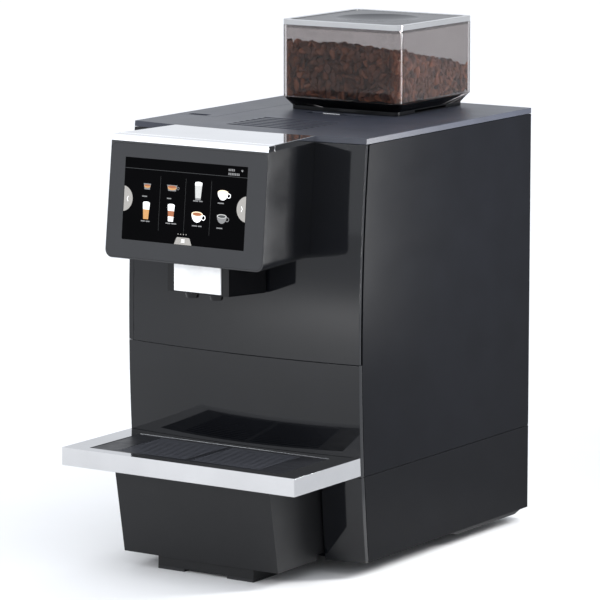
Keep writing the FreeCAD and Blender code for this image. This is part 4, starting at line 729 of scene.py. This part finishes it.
# ---- studio --------------------------------------------------------------------------------------
class COFFEE_OT_stage(Operator):
    """Pale floor, white surround, softboxes and the camera"""
    bl_idname = "coffee.stage"
    bl_label = "Set the stage"

    def execute(self, context):
        setup = context.scene.coffee_studio
        self.floor()
        self.surround(setup)
        self.softbox("softbox_side", *SIDE_BOX, setup.softbox)
        self.softbox("softbox_floor", *FLOOR_BOX, setup.floor_pool)
        self.camera(context, setup)
        return {"FINISHED"}

    def floor(self):
        bm = bmesh.new()
        bmesh.ops.create_grid(bm, x_segments=1, y_segments=1, size=FLOOR_HALF)
        mesh = bpy.data.meshes.new("floor")
        bm.to_mesh(mesh)
        bm.free()
        r = Recipe("floor_paper")
        tone = r.spread(r.noise(3.0, 3.0), 0.0, 1.0)
        r.colour(r.blend(tone, *((grey, grey, grey) for grey in FLOOR_GREYS)))
        r.join(r.spread(r.noise(40.0, 3.0), 0.72, 0.85), r.shader.inputs["Roughness"])
        mesh.materials.append(r.material)
        floor = bpy.data.objects.new("floor", mesh)
        bpy.context.scene.collection.objects.link(floor)

    def surround(self, setup):
        """Plain white to look at; its light is stronger overhead, in front and behind at the left."""
        world = bpy.data.worlds.new("white_surround")
        bpy.context.scene.world = world
        world.use_nodes = True
        nodes, links = world.node_tree.nodes, world.node_tree.links
        way = nodes.new("ShaderNodeTexCoord").outputs["Generated"]
        total = None
        for aim, sharpness, strength in SURROUND_LIGHTS:
            dot = nodes.new("ShaderNodeVectorMath")
            dot.operation = "DOT_PRODUCT"
            dot.inputs[1].default_value = Vector(aim).normalized()
            links.new(way, dot.inputs[0])
            value = dot.outputs["Value"]
            for operation, number in (("MAXIMUM", 0.0), ("POWER", sharpness), ("MULTIPLY", strength)):
                step = nodes.new("ShaderNodeMath")
                step.operation = operation
                step.inputs[1].default_value = number
                links.new(value, step.inputs[0])
                value = step.outputs["Value"]
            add = nodes.new("ShaderNodeMath")
            add.operation = "ADD"
            add.inputs[1].default_value = setup.surround
            if total is not None:
                links.new(total, add.inputs[1])
            links.new(value, add.inputs[0])
            total = add.outputs["Value"]
        light = nodes["Background"]
        light.inputs["Color"].default_value = (*SURROUND_TINT, 1.0)
        links.new(total, light.inputs["Strength"])
        seen = nodes.new("ShaderNodeBackground")
        seen.inputs["Color"].default_value = (*WHITE_SEEN, 1.0)
        mix = nodes.new("ShaderNodeMixShader")
        links.new(nodes.new("ShaderNodeLightPath").outputs["Is Camera Ray"], mix.inputs["Fac"])
        links.new(light.outputs["Background"], mix.inputs[1])
        links.new(seen.outputs["Background"], mix.inputs[2])
        links.new(mix.outputs["Shader"], nodes["World Output"].inputs["Surface"])

    def softbox(self, name, place, aim, width, height, power):
        light = bpy.data.lights.new(name, "AREA")
        light.shape = "RECTANGLE"
        light.size = width
        light.size_y = height
        light.energy = power
        lamp = bpy.data.objects.new(name, light)
        lamp.location = place
        lamp.visible_camera = False
        lamp.rotation_euler = (Vector(aim) - Vector(place)).to_track_quat("-Z", "Y").to_euler()
        bpy.context.scene.collection.objects.link(lamp)

    def camera(self, context, setup):
        cam = bpy.data.cameras.new("studio_camera")
        cam.lens = setup.lens
        cam.sensor_width = SENSOR_WIDTH
        cam.clip_end = CAMERA_REACH
        holder = bpy.data.objects.new("studio_camera", cam)
        target = Vector(CAMERA_TARGET)
        a, e = setup.azimuth, setup.elevation
        back = Vector((math.sin(a) * math.cos(e), -math.cos(a) * math.cos(e), math.sin(e)))
        holder.location = target + back * setup.distance
        holder.rotation_euler = (-back).to_track_quat("-Z", "Y").to_euler()
        context.scene.collection.objects.link(holder)
        context.scene.camera = holder
        context.scene.view_settings.view_transform = "Standard"


class COFFEE_PT_machine(Panel):
    """Lists the machine's finishing steps"""
    bl_idname = "COFFEE_PT_machine"
    bl_label = "Coffee Machine"
    bl_space_type = "VIEW_3D"
    bl_region_type = "UI"
    bl_category = "Coffee Machine"

    def draw(self, context):
        layout = self.layout
        for group in GROUPS:
            settings = getattr(context.scene, GROUPS[group])
            column = layout.column()
            for prop in group.__annotations__:
                column.prop(settings, prop)
        for operator in OPERATORS:
            layout.operator(operator.bl_idname)


GROUPS = {FinishColours: "coffee_colours", BeanSizes: "coffee_beans",
          ScreenPicture: "coffee_screen", StudioSetup: "coffee_studio"}
OPERATORS = (COFFEE_OT_finish_covers, COFFEE_OT_finish_moulded, COFFEE_OT_finish_metal,
             COFFEE_OT_finish_clear, COFFEE_OT_screen_picture, COFFEE_OT_bean_heap, COFFEE_OT_stage)


def register():
    for cls in (*GROUPS, *OPERATORS, COFFEE_PT_machine):
        bpy.utils.register_class(cls)
    for group, name in GROUPS.items():
        setattr(bpy.types.Scene, name, PointerProperty(type=group))


def unregister():
    for name in GROUPS.values():
        delattr(bpy.types.Scene, name)
    for cls in reversed((*GROUPS, *OPERATORS, COFFEE_PT_machine)):
        bpy.utils.unregister_class(cls)


def main():
    register()
    for operator in OPERATORS:
        group, name = operator.bl_idname.split(".")
        getattr(getattr(bpy.ops, group), name)()


if __name__ == "__main__":
    main()
